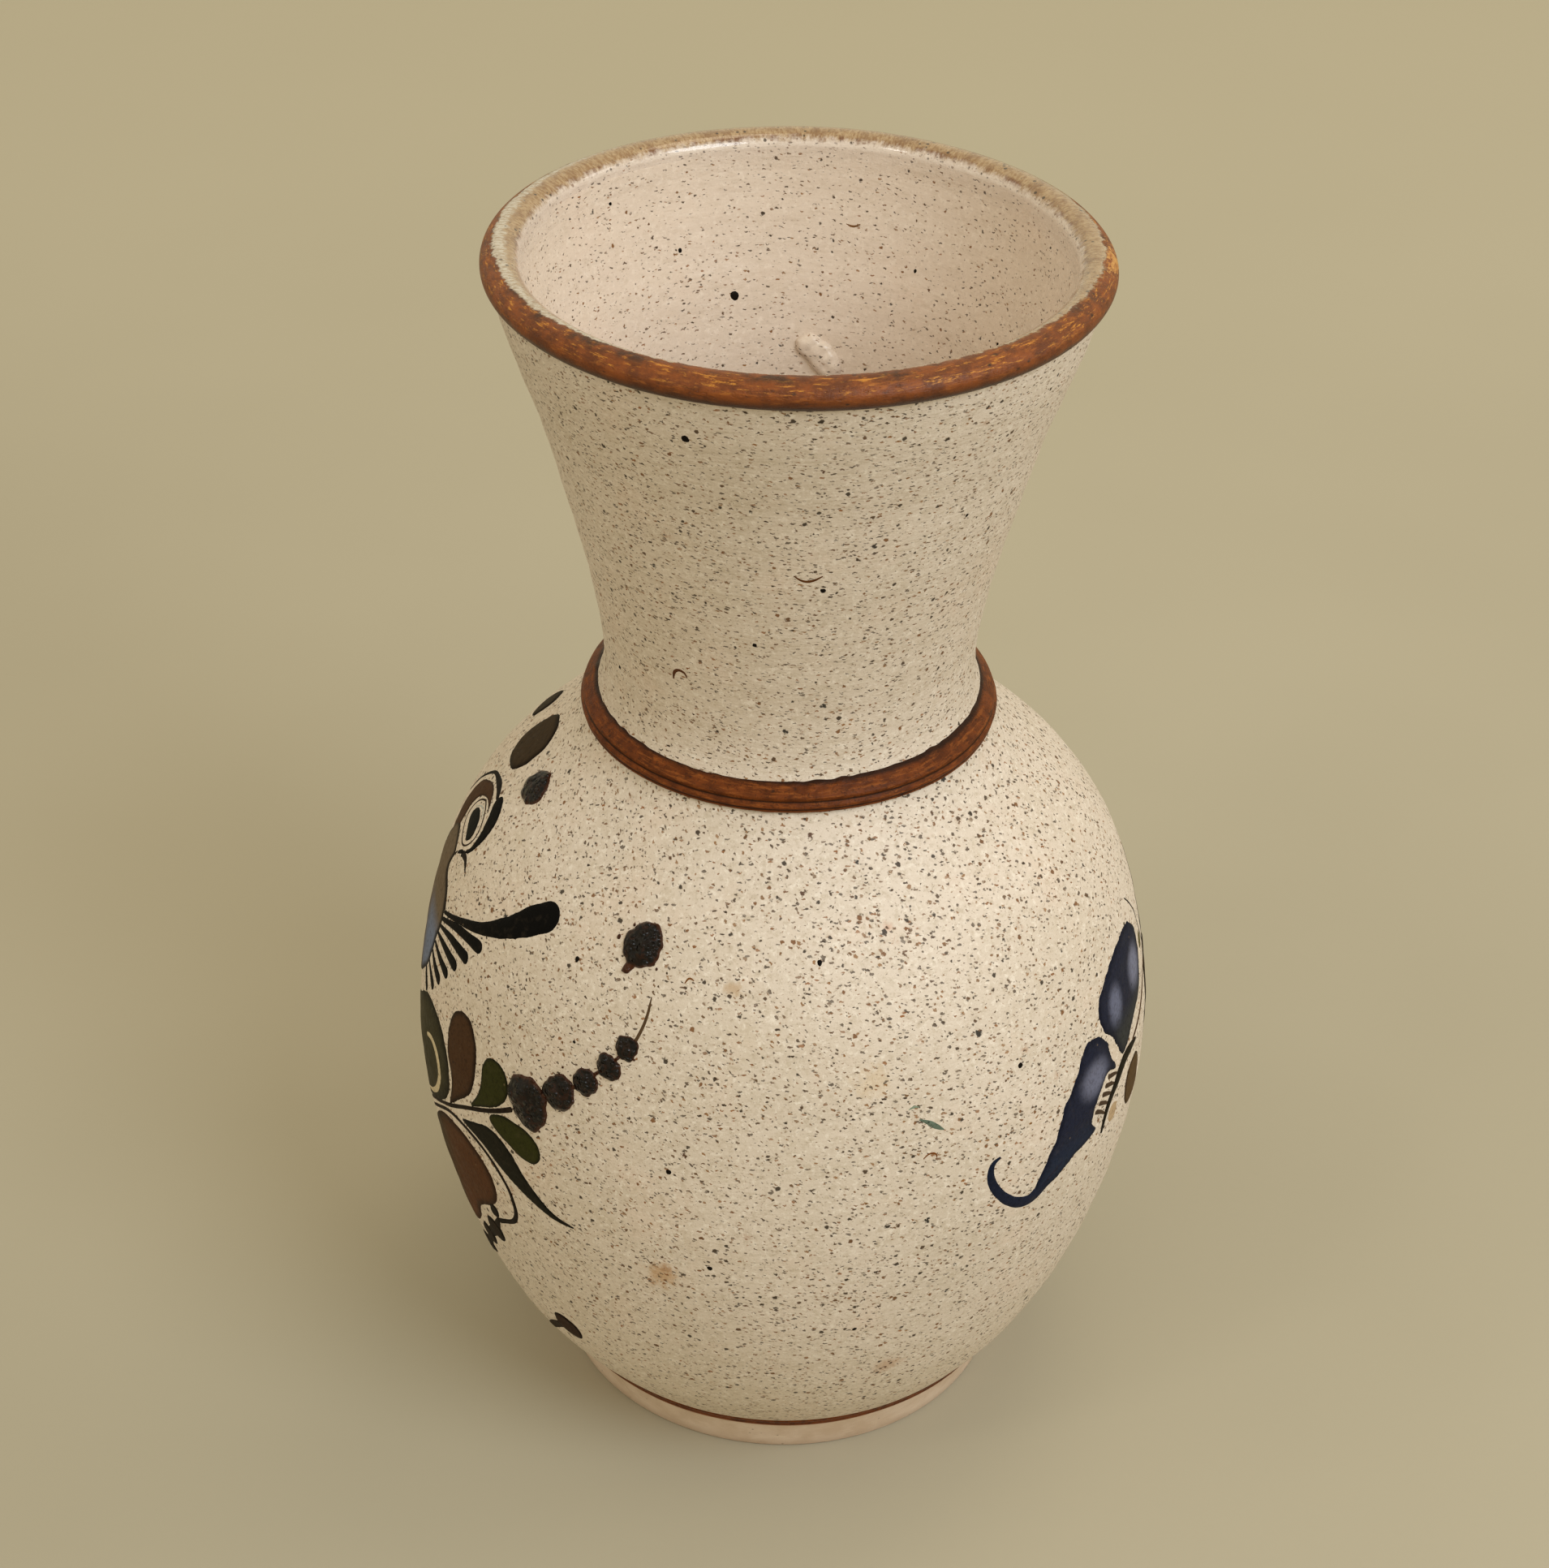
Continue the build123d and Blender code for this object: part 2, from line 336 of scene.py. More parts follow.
def cream_layers(sh, flat, inside, stains=()):
    """Colour, normal and roughness of the cream stoneware glaze with its iron specks. flat is how
    far the specks lie along the turning, and inside is 1 where the glaze is thick and glossy."""
    centred = sh.vec("SUBTRACT", sh.noise(1.7, 2, colour=True), (0.5, 0.5, 0.5))
    wobble = sh.vec("SCALE", centred, scale=0.75)
    at = sh.vadd(sh.mm, wobble)
    patchy = sh.noise(0.045, 3, 0.6)
    high = sh.line(sh.z, 30, 250)
    busy = sh.add(sh.mul(high, 0.22), sh.line(patchy, 0.3, 0.7, 0.56, 0.92))
    busy = sh.mul(busy, sh.sub(1.0, sh.mul(inside, 0.22)))
    small = sh.mul(inside, 0.05)
    smaller = sh.mul(inside, 0.10)
    tilt = 34 * (1 - flat) + 8 * flat
    one = aligned(sh, at, (tilt, tilt * 0.6, 20), (1.42, 1.32, 0.58 - 0.10 * flat))
    two = aligned(sh, at, (-tilt, -tilt * 0.7, -30), (1.32, 1.42, 0.60 - 0.10 * flat), (31.0, 12.0, 5.0))
    fine, fine_tone, _ = speckle(sh, one, 1.02, 0.13, 0.36, busy, 0.05, small)
    fine2, fine2_tone, _ = speckle(sh, two, 1.16, 0.14, 0.41 - 0.05 * flat, busy, 0.05, small)
    mid, mid_tone, _ = speckle(sh, at, 2.35, 0.22, 0.54 - 0.08 * flat, sh.mul(busy, 0.9), 0.07, smaller)
    far = sh.vadd(at, wobble)
    big, big_tone, _ = speckle(sh, far, 7.4, 0.32, 0.84 - 0.22 * flat, 0.60 - 0.12 * flat, 0.09, smaller)
    # ground: milky and bare patches, a pinkish blush, and darker and yellower towards the foot, which is
    # painted shade with warm painted reflected light
    broad = sh.noise(0.022, 3, 0.55)
    base = sh.mix(sh.step(broad, 0.32, 0.70), (213, 199, 184), (222, 208, 195))
    cloud = sh.noise(0.14, 4, 0.65, stretch=(1, 1, 1.0 + flat))
    base = sh.mix(sh.step(cloud, 0.50, 0.78, 0, 0.38), base, (201, 186, 164))
    blush = sh.noise(0.07, 3, 0.6, at=sh.vadd(sh.mm, (90.0, 10.0, 40.0)))
    base = sh.mix(sh.step(blush, 0.52, 0.72, 0, 0.30), base, (224, 200, 182))
    # painted shade and warm painted reflected light: the lower belly darker and yellower towards the foot
    low = sh.step(sh.z, 12, 58, 0.35, 0.0)
    base = sh.mix(low, base, (208, 192, 162))
    bare = sh.noise(0.75, 4, 0.7, stretch=(1 - 0.5 * flat, 1 - 0.5 * flat, 1.0 + flat))
    base = sh.mix(sh.step(bare, 0.48, 0.70, 0, 0.55), base, (184, 168, 146))
    milky = sh.noise(0.9, 3, 0.65, at=sh.vadd(sh.mm, (17.0, 50.0, 9.0)))
    base = sh.mix(sh.step(milky, 0.52, 0.68, 0, 0.75), base, (236, 225, 213))
    wiped = sh.noise(0.9, 4, 0.7, stretch=(0.10, 0.10, 1.6), at=sh.vadd(sh.mm, (4.0, 80.0, 2.0)))
    base = sh.mix(sh.step(wiped, 0.56, 0.72, 0, 0.55 * flat), base, (236, 227, 216))
    faint = sh.noise(1.9, 2, 0.6, stretch=(0.8, 0.8, 1.3 + 0.7 * flat))
    base = sh.mix(sh.step(faint, 0.62, 0.72, 0, 0.50), base, (128, 108, 80))
    for (x, y, z), reach, rgb, strength in stains:
        d = sh.vec("DISTANCE", sh.mm, (x, y, z))
        edge = sh.add(d, sh.line(sh.noise(0.45, 4, 0.7), 0.3, 0.7, -0.5 * reach, 0.5 * reach))
        base = sh.mix(sh.step(edge, reach, reach * 0.1, 0, strength), base, rgb)
    # a touch darker as flat grows, most on the neck: partly its denser specks, partly painted shade under
    # the lip
    base = sh.mix(0.5 * flat, base, sh.mix(1.0, base, (246, 244, 241), "MULTIPLY"))
    base = sh.mix(sh.mul(inside, 0.42), base, (229, 210, 194))
    # orange-brown bleeding from single iron grains
    rust_d, rust_c = sh.cells(12.0, sh.vadd(at, (31.0, 7.0, 3.0)))
    rust = sh.mul(sh.step(rust_d, 1.5, 0.1), sh.math("LESS_THAN", rust_c[1], 0.38))
    rust = sh.mul(rust, sh.step(sh.noise(1.5, 3, 0.7), 0.42, 0.60))
    base = sh.mix(sh.mul(rust, 0.65), base, (156, 104, 60))
    tone = sh.mix(sh.step(fine_tone, 0.3, 1.0), (62, 40, 15), (146, 100, 50))
    tone2 = sh.mix(sh.step(fine2_tone, 0.4, 1.0), (54, 35, 14), (146, 92, 42))
    mid_colour = sh.mix(sh.step(mid_tone, 0.35, 0.85), (46, 32, 15), (122, 78, 36))
    big_colour = sh.mix(sh.step(big_tone, 0.6, 0.9), (26, 21, 17), (84, 50, 28))
    base = sh.mix(sh.mul(fine, sh.line(sh.noise(0.5, 2), 0.3, 0.7, 0.70, 1.0)), base, tone)
    base = sh.mix(sh.mul(fine2, sh.line(sh.noise(0.4, 2), 0.3, 0.7, 1.0, 0.65)), base, tone2)
    base = sh.mix(sh.mul(mid, 0.95), base, mid_colour)
    base = sh.mix(sh.mul(big, 0.96), base, big_colour)
    # surface: turned streaks round the pot, fine grain, pits where grains burnt out
    streak = sh.noise(1.0, 3, 0.6, stretch=(0.12, 0.12, 1.9))
    grain = sh.noise(2.0, 3, 0.65)
    pit = sh.math("MAXIMUM", sh.math("MAXIMUM", fine, fine2), sh.math("MAXIMUM", mid, big))
    matte = sh.sub(1.0, sh.mul(inside, 0.65))
    n = sh.bump(sh.mul(streak, sh.mul(matte, 0.6 + 0.5 * flat)), 0.16, 0.6)
    n = sh.bump(sh.mul(grain, matte), 0.12, 0.8, n)
    n = sh.bump(sh.noise(0.30, 2, 0.5), 0.30, 0.5, n)
    n = sh.bump(sh.sub(1.0, pit), 0.07, 0.8, n)
    rough = sh.line(sh.noise(0.8, 3, 0.6), 0.3, 0.7, 0.46, 0.60)
    rough = sh.sub(rough, sh.mul(inside, 0.30))
    return base, n, rough


def cream(name, flat=0.0, inside=False, stains=()):
    sh = Shader(name)
    wet = sh.attribute("wet") if inside else 0.0
    base, n, rough = cream_layers(sh, flat, wet, stains)
    return sh.finish(base, rough, n, specular=0.40)


def slip_shader(name):
    """Brushed slip under a thin clear glaze. The mesh carries its colour and its wetness."""
    sh = Shader(name)
    tint = sh.attribute("tint", colour=True)
    brush = sh.noise(1.3, 4, 0.65)
    mottle = sh.noise(0.45, 3, 0.6)
    c = sh.mix(sh.step(brush, 0.45, 0.72, 0, 0.55), tint, sh.mix(1.0, tint, (150, 138, 130), "MULTIPLY"))
    c = sh.mix(sh.step(mottle, 0.50, 0.76, 0, 0.26), c, sh.mix(0.14, tint, (170, 150, 128)))
    spots, tone, _ = speckle(sh, sh.mm, 1.9, 0.12, 0.34, 0.55, 0.1)
    c = sh.mix(sh.mul(spots, 0.7), c, (16, 13, 11))
    pale, _, _ = speckle(sh, sh.vadd(sh.mm, (5.0, 9.0, 2.0)), 2.4, 0.10, 0.26, 0.35, 0.08)
    c = sh.mix(sh.mul(pale, 0.35), c, (150, 128, 100))
    n = sh.bump(brush, 0.10, 0.5)
    n = sh.bump(sh.noise(3.0, 2, 0.5), 0.05, 0.5, n)
    rough = sh.line(mottle, 0.3, 0.7, 0.48, 0.66)
    return sh.finish(c, rough, n, specular=0.06)


# ---------------------------------------------------------------- meshes


def mesh_object(name, verts, faces, material, smooth_angle=None):
    """A smooth-shaded object, with edges above smooth_angle degrees kept sharp."""
    mesh = bpy.data.meshes.new(name)
    mesh.from_pydata([tuple(v) for v in verts], [], faces)
    mesh.validate()
    mesh.update()
    mesh.polygons.foreach_set("use_smooth", [True] * len(mesh.polygons))
    if smooth_angle is not None:
        mesh.set_sharp_from_angle(angle=math.radians(smooth_angle))
    mesh.materials.append(material)
    o = bpy.data.objects.new(name, mesh)
    scene.collection.objects.link(o)
    return o


def floats(o, name, values):
    """A number for each vertex, which a material reads by its name."""
    a = o.data.attributes.new(name, "FLOAT", "POINT")
    a.data.foreach_set("value", np.asarray(values, np.float32))


def tints(o, name, values):
    """A linear colour for each vertex, which a material reads by its name."""
    a = o.data.attributes.new(name, "FLOAT_COLOR", "POINT")
    a.data.foreach_set("color", np.c_[values, np.ones(len(values))].astype(np.float32).ravel())


def lathe(name, profile, turns, material, shift=None, closed=False, v=None, sharp=50, marks=None):
    """Turns a profile of (radius, height) into a closed mesh. It starts and ends on the axis unless
    it is closed. shift(az, radius, height) gives (out, up) offsets. v is each point's place in the
    unwrapped map, and marks are per-vertex values by name from (az, index)."""
    profile = np.asarray(profile, float)
    az = np.linspace(0, 2 * np.pi, turns, endpoint=False)
    first, verts, at_az, at_k = [], [], [], []
    for k, (radius, height) in enumerate(profile):
        first.append(sum(len(x) for x in verts))
        a = az if closed or radius > 1e-6 else az[:1] * 0
        r, z = np.full(len(a), radius), np.full(len(a), height)
        if shift is not None:
            dr, dz = shift(a, r, z)
            r, z = r + dr * (r > 1e-6), z + dz
        verts.append(np.c_[r * np.sin(a), -r * np.cos(a), z] * MM)
        at_az.append(a)
        at_k.append(np.full(len(a), k))
    faces, uv = [], []
    if v is None:
        d = np.r_[0, np.cumsum(np.linalg.norm(np.diff(profile, axis=0), axis=1))]
        v = d / d[-1]
        if closed:
            v = d / (d[-1] + np.linalg.norm(profile[0] - profile[-1]))
    count = len(profile)
    for k in range(count if closed else count - 1):
        m = (k + 1) % count
        va, vb = v[k], v[m] if m else 1.0
        for i in range(turns):
            j = (i + 1) % turns
            ua, ub = i / turns, (i + 1) / turns
            low, high = len(verts[k]) > 1, len(verts[m]) > 1
            if low and high:
                faces.append((first[k] + i, first[k] + j, first[m] + j, first[m] + i))
                uv += [(ua, va), (ub, va), (ub, vb), (ua, vb)]
            elif high:
                faces.append((first[k], first[m] + j, first[m] + i))
                uv += [((ua + ub) / 2, va), (ub, vb), (ua, vb)]
            elif low:
                faces.append((first[k] + i, first[k] + j, first[m]))
                uv += [(ua, va), (ub, va), ((ua + ub) / 2, vb)]
    o = mesh_object(name, np.vstack(verts), faces, material, sharp)
    layer = o.data.uv_layers.new(name="OFBake")
    layer.data.foreach_set("uv", np.clip(np.array(uv, np.float32), 0.0005, 0.9995).ravel())
    a, k = np.concatenate(at_az), np.concatenate(at_k)
    for key, make in (marks or {}).items():
        floats(o, key, make(a, k))
    return o


def give(o, slot, *nodes):
    """Rides the pot and stands in for those CAD nodes. The slot is not used."""
    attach(o, "root")
    if nodes:
        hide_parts(*nodes)
    return o


def bands(profile, cuts):
    """Places along the unwrapped map: cuts are (index, v) pairs, straight between by length."""
    d = np.r_[0, np.cumsum(np.linalg.norm(np.diff(profile, axis=0), axis=1))]
    out = np.zeros(len(profile))
    for (a, va), (b, vb) in zip(cuts, cuts[1:]):
        seg = d[a : b + 1]
        out[a : b + 1] = va + (vb - va) * (seg - seg[0]) / max(seg[-1] - seg[0], 1e-9)
    return out


def wall_shift(a, r, z):
    """The hand-thrown unevenness, as lathe takes it."""
    return hand(a, z), z * 0


# place, reach in millimetres, colour and strength of each stain on the belly
STAINS = (
    (on_belly(-17.1, 71.3), 4.6, (190, 148, 102), 0.75),
    (on_belly(-16.4, 73.4), 1.6, (160, 112, 70), 0.5),
    (on_belly(-8.1, 133.9), 2.4, (184, 152, 114), 0.65),
    (on_belly(19.9, 40.7), 4.2, (186, 146, 112), 0.6),
    (on_belly(20.4, 141.5), 1.7, (206, 160, 136), 0.6),
    (on_belly(14.0, 118.0), 5.0, (208, 184, 152), 0.5),
    (on_belly(-150.0, 92.0), 4.0, (192, 152, 108), 0.6),
    (on_belly(128.0, 60.0), 3.2, (190, 150, 108), 0.6),
)
TURNS = 288
glaze = cream("cream_glaze", 0.15, stains=STAINS)

# the belly: floor underside, outer wall, joint face, inner wall, floor
out = spline(belly_out, 1.4)
inn = spline(belly_in, 3.0)[::-1]
low_edge = belly_out[0, 1]
under = np.array(
    [(r, FLOOR_UNDERSIDE) for r in (0, 12, 26, RECESS_RADIUS - 0.4)]
    + [(RECESS_RADIUS, FLOOR_UNDERSIDE + 0.2), (RECESS_RADIUS, low_edge), (RECESS_RADIUS + 6, low_edge)]
)
inner_floor = np.array([(r, FLOOR_TOP) for r in (18, 8, 0)])
body = np.vstack([under, out, inn, inner_floor])
cut_a, cut_b = len(under), len(under) + len(out) - 1
belly = lathe(
    "vase_belly",
    body,
    TURNS,
    glaze,
    wall_shift,
    v=bands(body, [(0, 0.0), (cut_a, 0.05), (cut_b, 0.90), (len(body) - 1, 1.0)]),
)
give(belly, "cream_glaze", "belly")

# the neck: outer wall, seat under the lip, inner wall
out = spline(neck_out, 1.2)
inn = spline(neck_in, 1.2)[::-1]
tube = np.vstack([out, inn])
glaze_neck = cream("cream_glaze_neck", 0.9, inside=True)
first_inside = len(out)
neck = lathe(
    "vase_neck",
    tube,
    TURNS,
    glaze_neck,
    wall_shift,
    closed=True,
    v=bands(tube, [(0, 0.0), (len(out) - 1, 0.52), (len(tube) - 1, 0.985)]),
    marks={"wet": lambda a, k: (k >= first_inside).astype(float)},
)
give(neck, "cream_glaze", "neck")


# ---------------------------------------------------------------- lip, cordon and foot

lip_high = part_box("rim_roll")[1]
LIP_OUT, LIP_TOP = lip_high.x * 1000, lip_high.z * 1000
LIP_HALF_ACROSS, LIP_HALF_TALL, LIP_SEAT_Z = 3.55, 2.8, 247.6
MARKS_RADIUS = 53.6  # middle of the lip, where the size of its marks is true
lip_r, lip_z = LIP_OUT - LIP_HALF_ACROSS, LIP_TOP - LIP_HALF_TALL
phi = np.radians(np.arange(-88, 181, 4.0))
roll = np.c_[lip_r + LIP_HALF_ACROSS * np.cos(phi), lip_z + LIP_HALF_TALL * np.sin(phi)]
inner_edge = lip_r - LIP_HALF_ACROSS
lining_r = [np.interp(lip_z - h, neck_in[:, 1], neck_in[:, 0]) for h in (2.6, 3.6, 4.8)]
flank_points = [
    roll[-2], roll[-1], (inner_edge - 0.07, lip_z - 1.2), (lining_r[0] - 0.07, lip_z - 2.6),
    (lining_r[1] - 0.03, lip_z - 3.6), (lining_r[2] + 0.10, lip_z - 4.8),
]
flank = spline(flank_points, 0.5)[2:]
core = np.array([(inner_edge + 1.8, lip_z - 4.4), (lip_r - 0.3, LIP_SEAT_Z)])
lip_section = np.vstack([roll, flank, core])
# place over the lip in degrees: 0 faces out, 90 up and 180 in, and it goes on down the lining
lip_angle = np.r_[np.degrees(phi), 180 + 5 * np.arange(1, len(flank) + 1), [300, 320]]
# where the brown slip, the pale wash and the tan wash end over the lip, by azimuth
AROUND = [-180, -150, -120, -90, -60, -30, 0, 30, 60, 90, 120, 150, 180]
BROWN_END = (AROUND, [54, 54, 56, 66, 88, 106, 114, 112, 98, 72, 58, 54, 54])
PALE_END = (AROUND, [58, 66, 84, 104, 114, 116, 116, 112, 98, 72, 58, 56, 58])
TAN_END = (AROUND, [138, 142, 148, 152, 150, 146, 142, 142, 142, 140, 140, 138, 138])


def turn(a):
    """Azimuth in degrees from -180 to 180."""
    return (np.degrees(a) + 180) % 360 - 180


def lip_shift(a, r, z):
    """The lip's own unevenness, and the wall's where it meets the lining."""
    low = np.clip((lip_z - 1.0 - z) / 2.2, 0, 1) * (r < lip_r - 1)
    own = 0.10 * np.sin(2 * a) + 0.05 * np.sin(5 * a) + 0.03 * np.sin(9 * a)
    return (
        own * (1 - low) + hand(a, z) * low,
        0.10 * np.sin(2 * a) + 0.06 * np.sin(3 * a) + 0.03 * np.sin(7 * a) - 0.02,
    )


def lip_material():
    sh = Shader("lip_slip")
    ang = sh.attribute("lip_angle")
    brown_end, pale_end, tan_end = [sh.attribute(x) for x in ("brown_end", "pale_end", "tan_end")]
    worn_at = sh.attribute("worn")
    level = sh.vec("MULTIPLY", sh.mm, (1.0, 1.0, 0.0))
    ring = sh.vec("SCALE", sh.vec("NORMALIZE", level), scale=MARKS_RADIUS)

    def unrolled(scale, per_degree, start=(0.0, 0.0)):
        over = sh.vec("MULTIPLY", sh.merge(*start, ang), (1, 1, per_degree))
        return sh.vadd(sh.vec("SCALE", ring, scale=scale), over)

    # across: hair-like marks that run over the lip; along: marks that follow the turning
    across, along = unrolled(1.0, 0.025), unrolled(0.30, 0.075)
    hairs = sh.noise(1.9, 4, 0.7, at=across)
    ragged = sh.line(sh.noise(0.45, 4, 0.65, at=across), 0.25, 0.75, -12, 12)
    mottle = sh.line(sh.noise(0.8, 4, 0.7), 0.3, 0.7, -10, 10)
    feather = sh.add(sh.add(sh.mul(ragged, 0.8), mottle), sh.line(hairs, 0.25, 0.75, -6, 6))
    a1 = sh.add(ang, sh.add(ragged, sh.line(hairs, 0.25, 0.75, -7, 7)))
    a2 = sh.add(ang, feather)
    past_brown = sh.step(sh.sub(a1, brown_end), -3, 4)
    past_pale = sh.step(sh.sub(a2, pale_end), -10, 10)
    past_tan = sh.step(sh.sub(a2, tan_end), -15, 20)
    cloth = sh.noise(0.28, 4, 0.65)
    streak = sh.noise(1.0, 5, 0.7, at=along)
    brown = sh.mix(sh.step(cloth, 0.35, 0.65), (130, 67, 22), (98, 48, 15))
    brown = sh.mix(sh.step(streak, 0.52, 0.66, 0, 0.50), brown, (168, 98, 36))
    brown = sh.mix(sh.step(streak, 0.45, 0.33, 0, 0.55), brown, (70, 34, 12))
    # darker over the underside of the roll: painted shade
    brown = sh.mix(sh.step(ang, 14, -38, 0, 0.85), brown, (40, 19, 8))
    # golden flecks along the crown: partly the iron glaze's own colour, partly painted highlight
    gold_glint_noise = sh.noise(1.0, 5, 0.75, at=unrolled(0.30, 0.09, (3.0, 9.0)))
    crown = sh.mul(sh.step(ang, 8, 34), sh.step(ang, 104, 78))
    gold_and_glint = sh.mul(sh.step(gold_glint_noise, 0.55, 0.63), crown)
    brown = sh.mix(sh.mul(gold_and_glint, 0.65), brown, (216, 146, 54))
    burnt = sh.mul(sh.step(sh.noise(0.10, 4, 0.65), 0.50, 0.62), sh.step(ang, 40, 80))
    brown = sh.mix(sh.mul(burnt, 0.8), brown, (46, 27, 16))
    chip = sh.step(sh.add(sh.noise(0.55, 5, 0.7), sh.mul(worn_at, 0.32)), 0.66, 0.72)
    chip = sh.mul(chip, sh.step(worn_at, 0.1, 0.4))
    brown = sh.mix(chip, brown, sh.mix(sh.step(streak, 0.4, 0.6), (160, 94, 34), (200, 148, 80)))
    dark, _, _ = speckle(sh, aligned(sh, sh.mm, (0, 0, 0), (1.4, 1.4, 0.7)), 2.4, 0.16, 0.5, 0.62, 0.12)
    brown = sh.mix(sh.mul(dark, 0.8), brown, (30, 18, 12))
    base, n0, _ = cream_layers(sh, 0.9, 1.0)
    pale = sh.mix(sh.step(hairs, 0.42, 0.62), (200, 190, 174), (160, 138, 112))
    tan = sh.mix(sh.step(hairs, 0.36, 0.62), (142, 108, 70), (176, 148, 112))
    tan = sh.mix(sh.step(sh.noise(0.30, 4, 0.65), 0.48, 0.68, 0, 0.6), tan, (116, 76, 40))
    blotch = sh.step(sh.noise(0.35, 4, 0.7, at=across), 0.46, 0.60)
    tan = sh.mix(sh.mul(sh.step(sh.sub(tan_end, ang), 22, 4), blotch), tan, (112, 70, 38))
    lilac = sh.mix(sh.step(sh.sub(ang, tan_end), 70, 8, 0, 0.30), base, (214, 202, 198))
    fleck, _, _ = speckle(sh, sh.vadd(sh.mm, (3.0, 5.0, 7.0)), 1.3, 0.12, 0.36, 0.60, 0.07)
    c = sh.mix(past_brown, brown, pale)
    c = sh.mix(past_pale, c, tan)
    c = sh.mix(past_tan, c, lilac)
    on_wash = sh.mul(past_brown, sh.step(sh.sub(ang, tan_end), 52, 8))
    c = sh.mix(sh.mul(sh.mul(fleck, on_wash), 0.9), c, (58, 42, 28))
    n = sh.bump(streak, 0.22, 0.7, n0)
    n = sh.bump(past_brown, 0.10, 0.8, n)
    n = sh.bump(hairs, 0.10, 0.5, n)
    n = sh.bump(sh.noise(2.0, 3, 0.6), 0.08, 0.6, n)
    rough = sh.line(streak, 0.3, 0.7, 0.30, 0.52)
    rough = sh.sub(rough, sh.mul(past_brown, 0.20))
    return sh.finish(c, rough, n, specular=0.32, coat=sh.mul(past_brown, 0.9), coat_roughness=0.07)


lip = lathe(
    "lip",
    lip_section,
    360,
    lip_material(),
    lip_shift,
    closed=True,
    sharp=60,
    marks={
        "lip_angle": lambda a, k: lip_angle[k],
        "brown_end": lambda a, k: np.interp(turn(a), *BROWN_END),
        "pale_end": lambda a, k: np.interp(turn(a), *PALE_END),
        "tan_end": lambda a, k: np.interp(turn(a), *TAN_END),
        "worn": lambda a, k: np.exp(-(((turn(a) - 87) / 9) ** 2) - ((lip_angle[k] - 40) / 34) ** 2),
    },
)
give(lip, "lip_slip", "rim_roll")

# the cordon's outside, as offsets from its outermost radius and its top
cordon_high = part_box("neck_cordon")[1]
cr, cz = cordon_high.x * 1000, cordon_high.z * 1000
cordon_line = [
    (-3.95, 0.45), (-3.15, 0.0), (-2.1, -0.72), (-1.1, -1.45), (-0.52, -2.25), (-0.66, -2.8),
    (-0.30, -3.2), (-0.02, -3.85), (-0.30, -4.3), (-0.20, -4.65), (-0.75, -5.1), (-1.75, -5.45),
]
cordon_line = spline([(cr + x, cz + y) for x, y in cordon_line], 0.2)[::-1]
cordon_section = np.vstack([[(cr - 3.2, cz - 5.2)], cordon_line, [(cr - 5.2, cz - 0.2)]])
waves = [(int(f), rng.uniform(0, 6.28), rng.uniform(0.4, 1.0)) for f in rng.integers(7, 90, 22)]


def ragged(a):
    """An uneven edge round the pot, from -1 to 1."""
    return sum(w * np.sin(f * a + p) for f, p, w in waves) / 6.5


def cordon_shift(a, r, z):
    """The cordon's own waves, with ragged upper and lower edges."""
    top = np.clip((z - (cz - 1.0)) / 0.8, 0, 1)
    foot_edge = np.clip(((cz - 4.6) - z) / 0.5, 0, 1)
    up = 0.07 * np.sin(2 * a) + 0.04 * np.sin(5 * a)
    return (
        0.07 * np.sin(3 * a + 0.3) + 0.04 * np.sin(7 * a + z) + 0.03 * ragged(a + z),
        up + 0.11 * ragged(a) * top - 0.09 * ragged(a + 2) * foot_edge,
    )


def cordon_material():
    sh = Shader("cordon_slip")
    unshaded = sh.attribute("unshaded")
    cloth = sh.noise(0.4, 4, 0.6)
    streak = sh.noise(0.7, 4, 0.7, stretch=(0.4, 0.4, 4.0))
    c = sh.mix(sh.step(cloth, 0.35, 0.68), (112, 56, 20), (82, 39, 13))
    c = sh.mix(sh.step(streak, 0.48, 0.66, 0, 0.8), c, (140, 78, 32))
    c = sh.mix(sh.step(sh.noise(1.6, 4, 0.7), 0.50, 0.36, 0, 0.6), c, (52, 26, 10))
    # painted shade in the grooves and along the edges
    c = sh.mix(sh.step(unshaded, 0.75, 0.1, 0, 0.9), c, (30, 15, 7))
    dark, _, _ = speckle(sh, sh.mm, 2.2, 0.16, 0.5, 0.6, 0.12)
    c = sh.mix(sh.mul(dark, 0.7), c, (36, 24, 20))
    n = sh.bump(streak, 0.22, 0.7)
    n = sh.bump(sh.noise(1.8, 3, 0.6), 0.14, 0.7, n)
    rough = sh.line(streak, 0.3, 0.7, 0.30, 0.52)
    return sh.finish(c, rough, n, specular=0.12)


# how open each point of the cordon lies to light: 0 in its two turned grooves and at its edges, where the
# cordon's material paints shade
drop = cz - cordon_section[:, 1]
grooves = np.minimum(np.abs(drop - 2.8), np.abs(drop - 4.3)) / 0.38
edge = np.minimum(np.clip((drop + 0.1) / 0.9, 0, 1), np.clip((5.1 - drop) / 0.5, 0, 1))
cordon_unshaded = np.minimum(np.clip(grooves, 0, 1), edge)
cordon = lathe(
    "cordon",
    cordon_section,
    320,
    cordon_material(),
    cordon_shift,
    closed=True,
    sharp=70,
    marks={"unshaded": lambda a, k: cordon_unshaded[k]},
)
give(cordon, "iron_slip", "neck_cordon")


def around(points):
    """The points of a section in order round it, without near repeats."""
    points = np.unique(np.round(points, 2), axis=0)
    mid = points.mean(0)
    order = np.argsort(np.arctan2(points[:, 1] - mid[1], points[:, 0] - mid[0]))
    out = []
    for q in points[order]:
        if not out or np.linalg.norm(q - out[-1]) > 0.08:
            out.append(q)
    return np.array(out)


def subdivided(loop, step):
    """A closed loop with no gap between its points above about that step."""
    out = []
    for a, b in zip(loop, np.roll(loop, -1, axis=0)):
        n = max(1, int(np.linalg.norm(b - a) / step))
        out += [a + (b - a) * i / n for i in range(n)]
    return np.array(out)


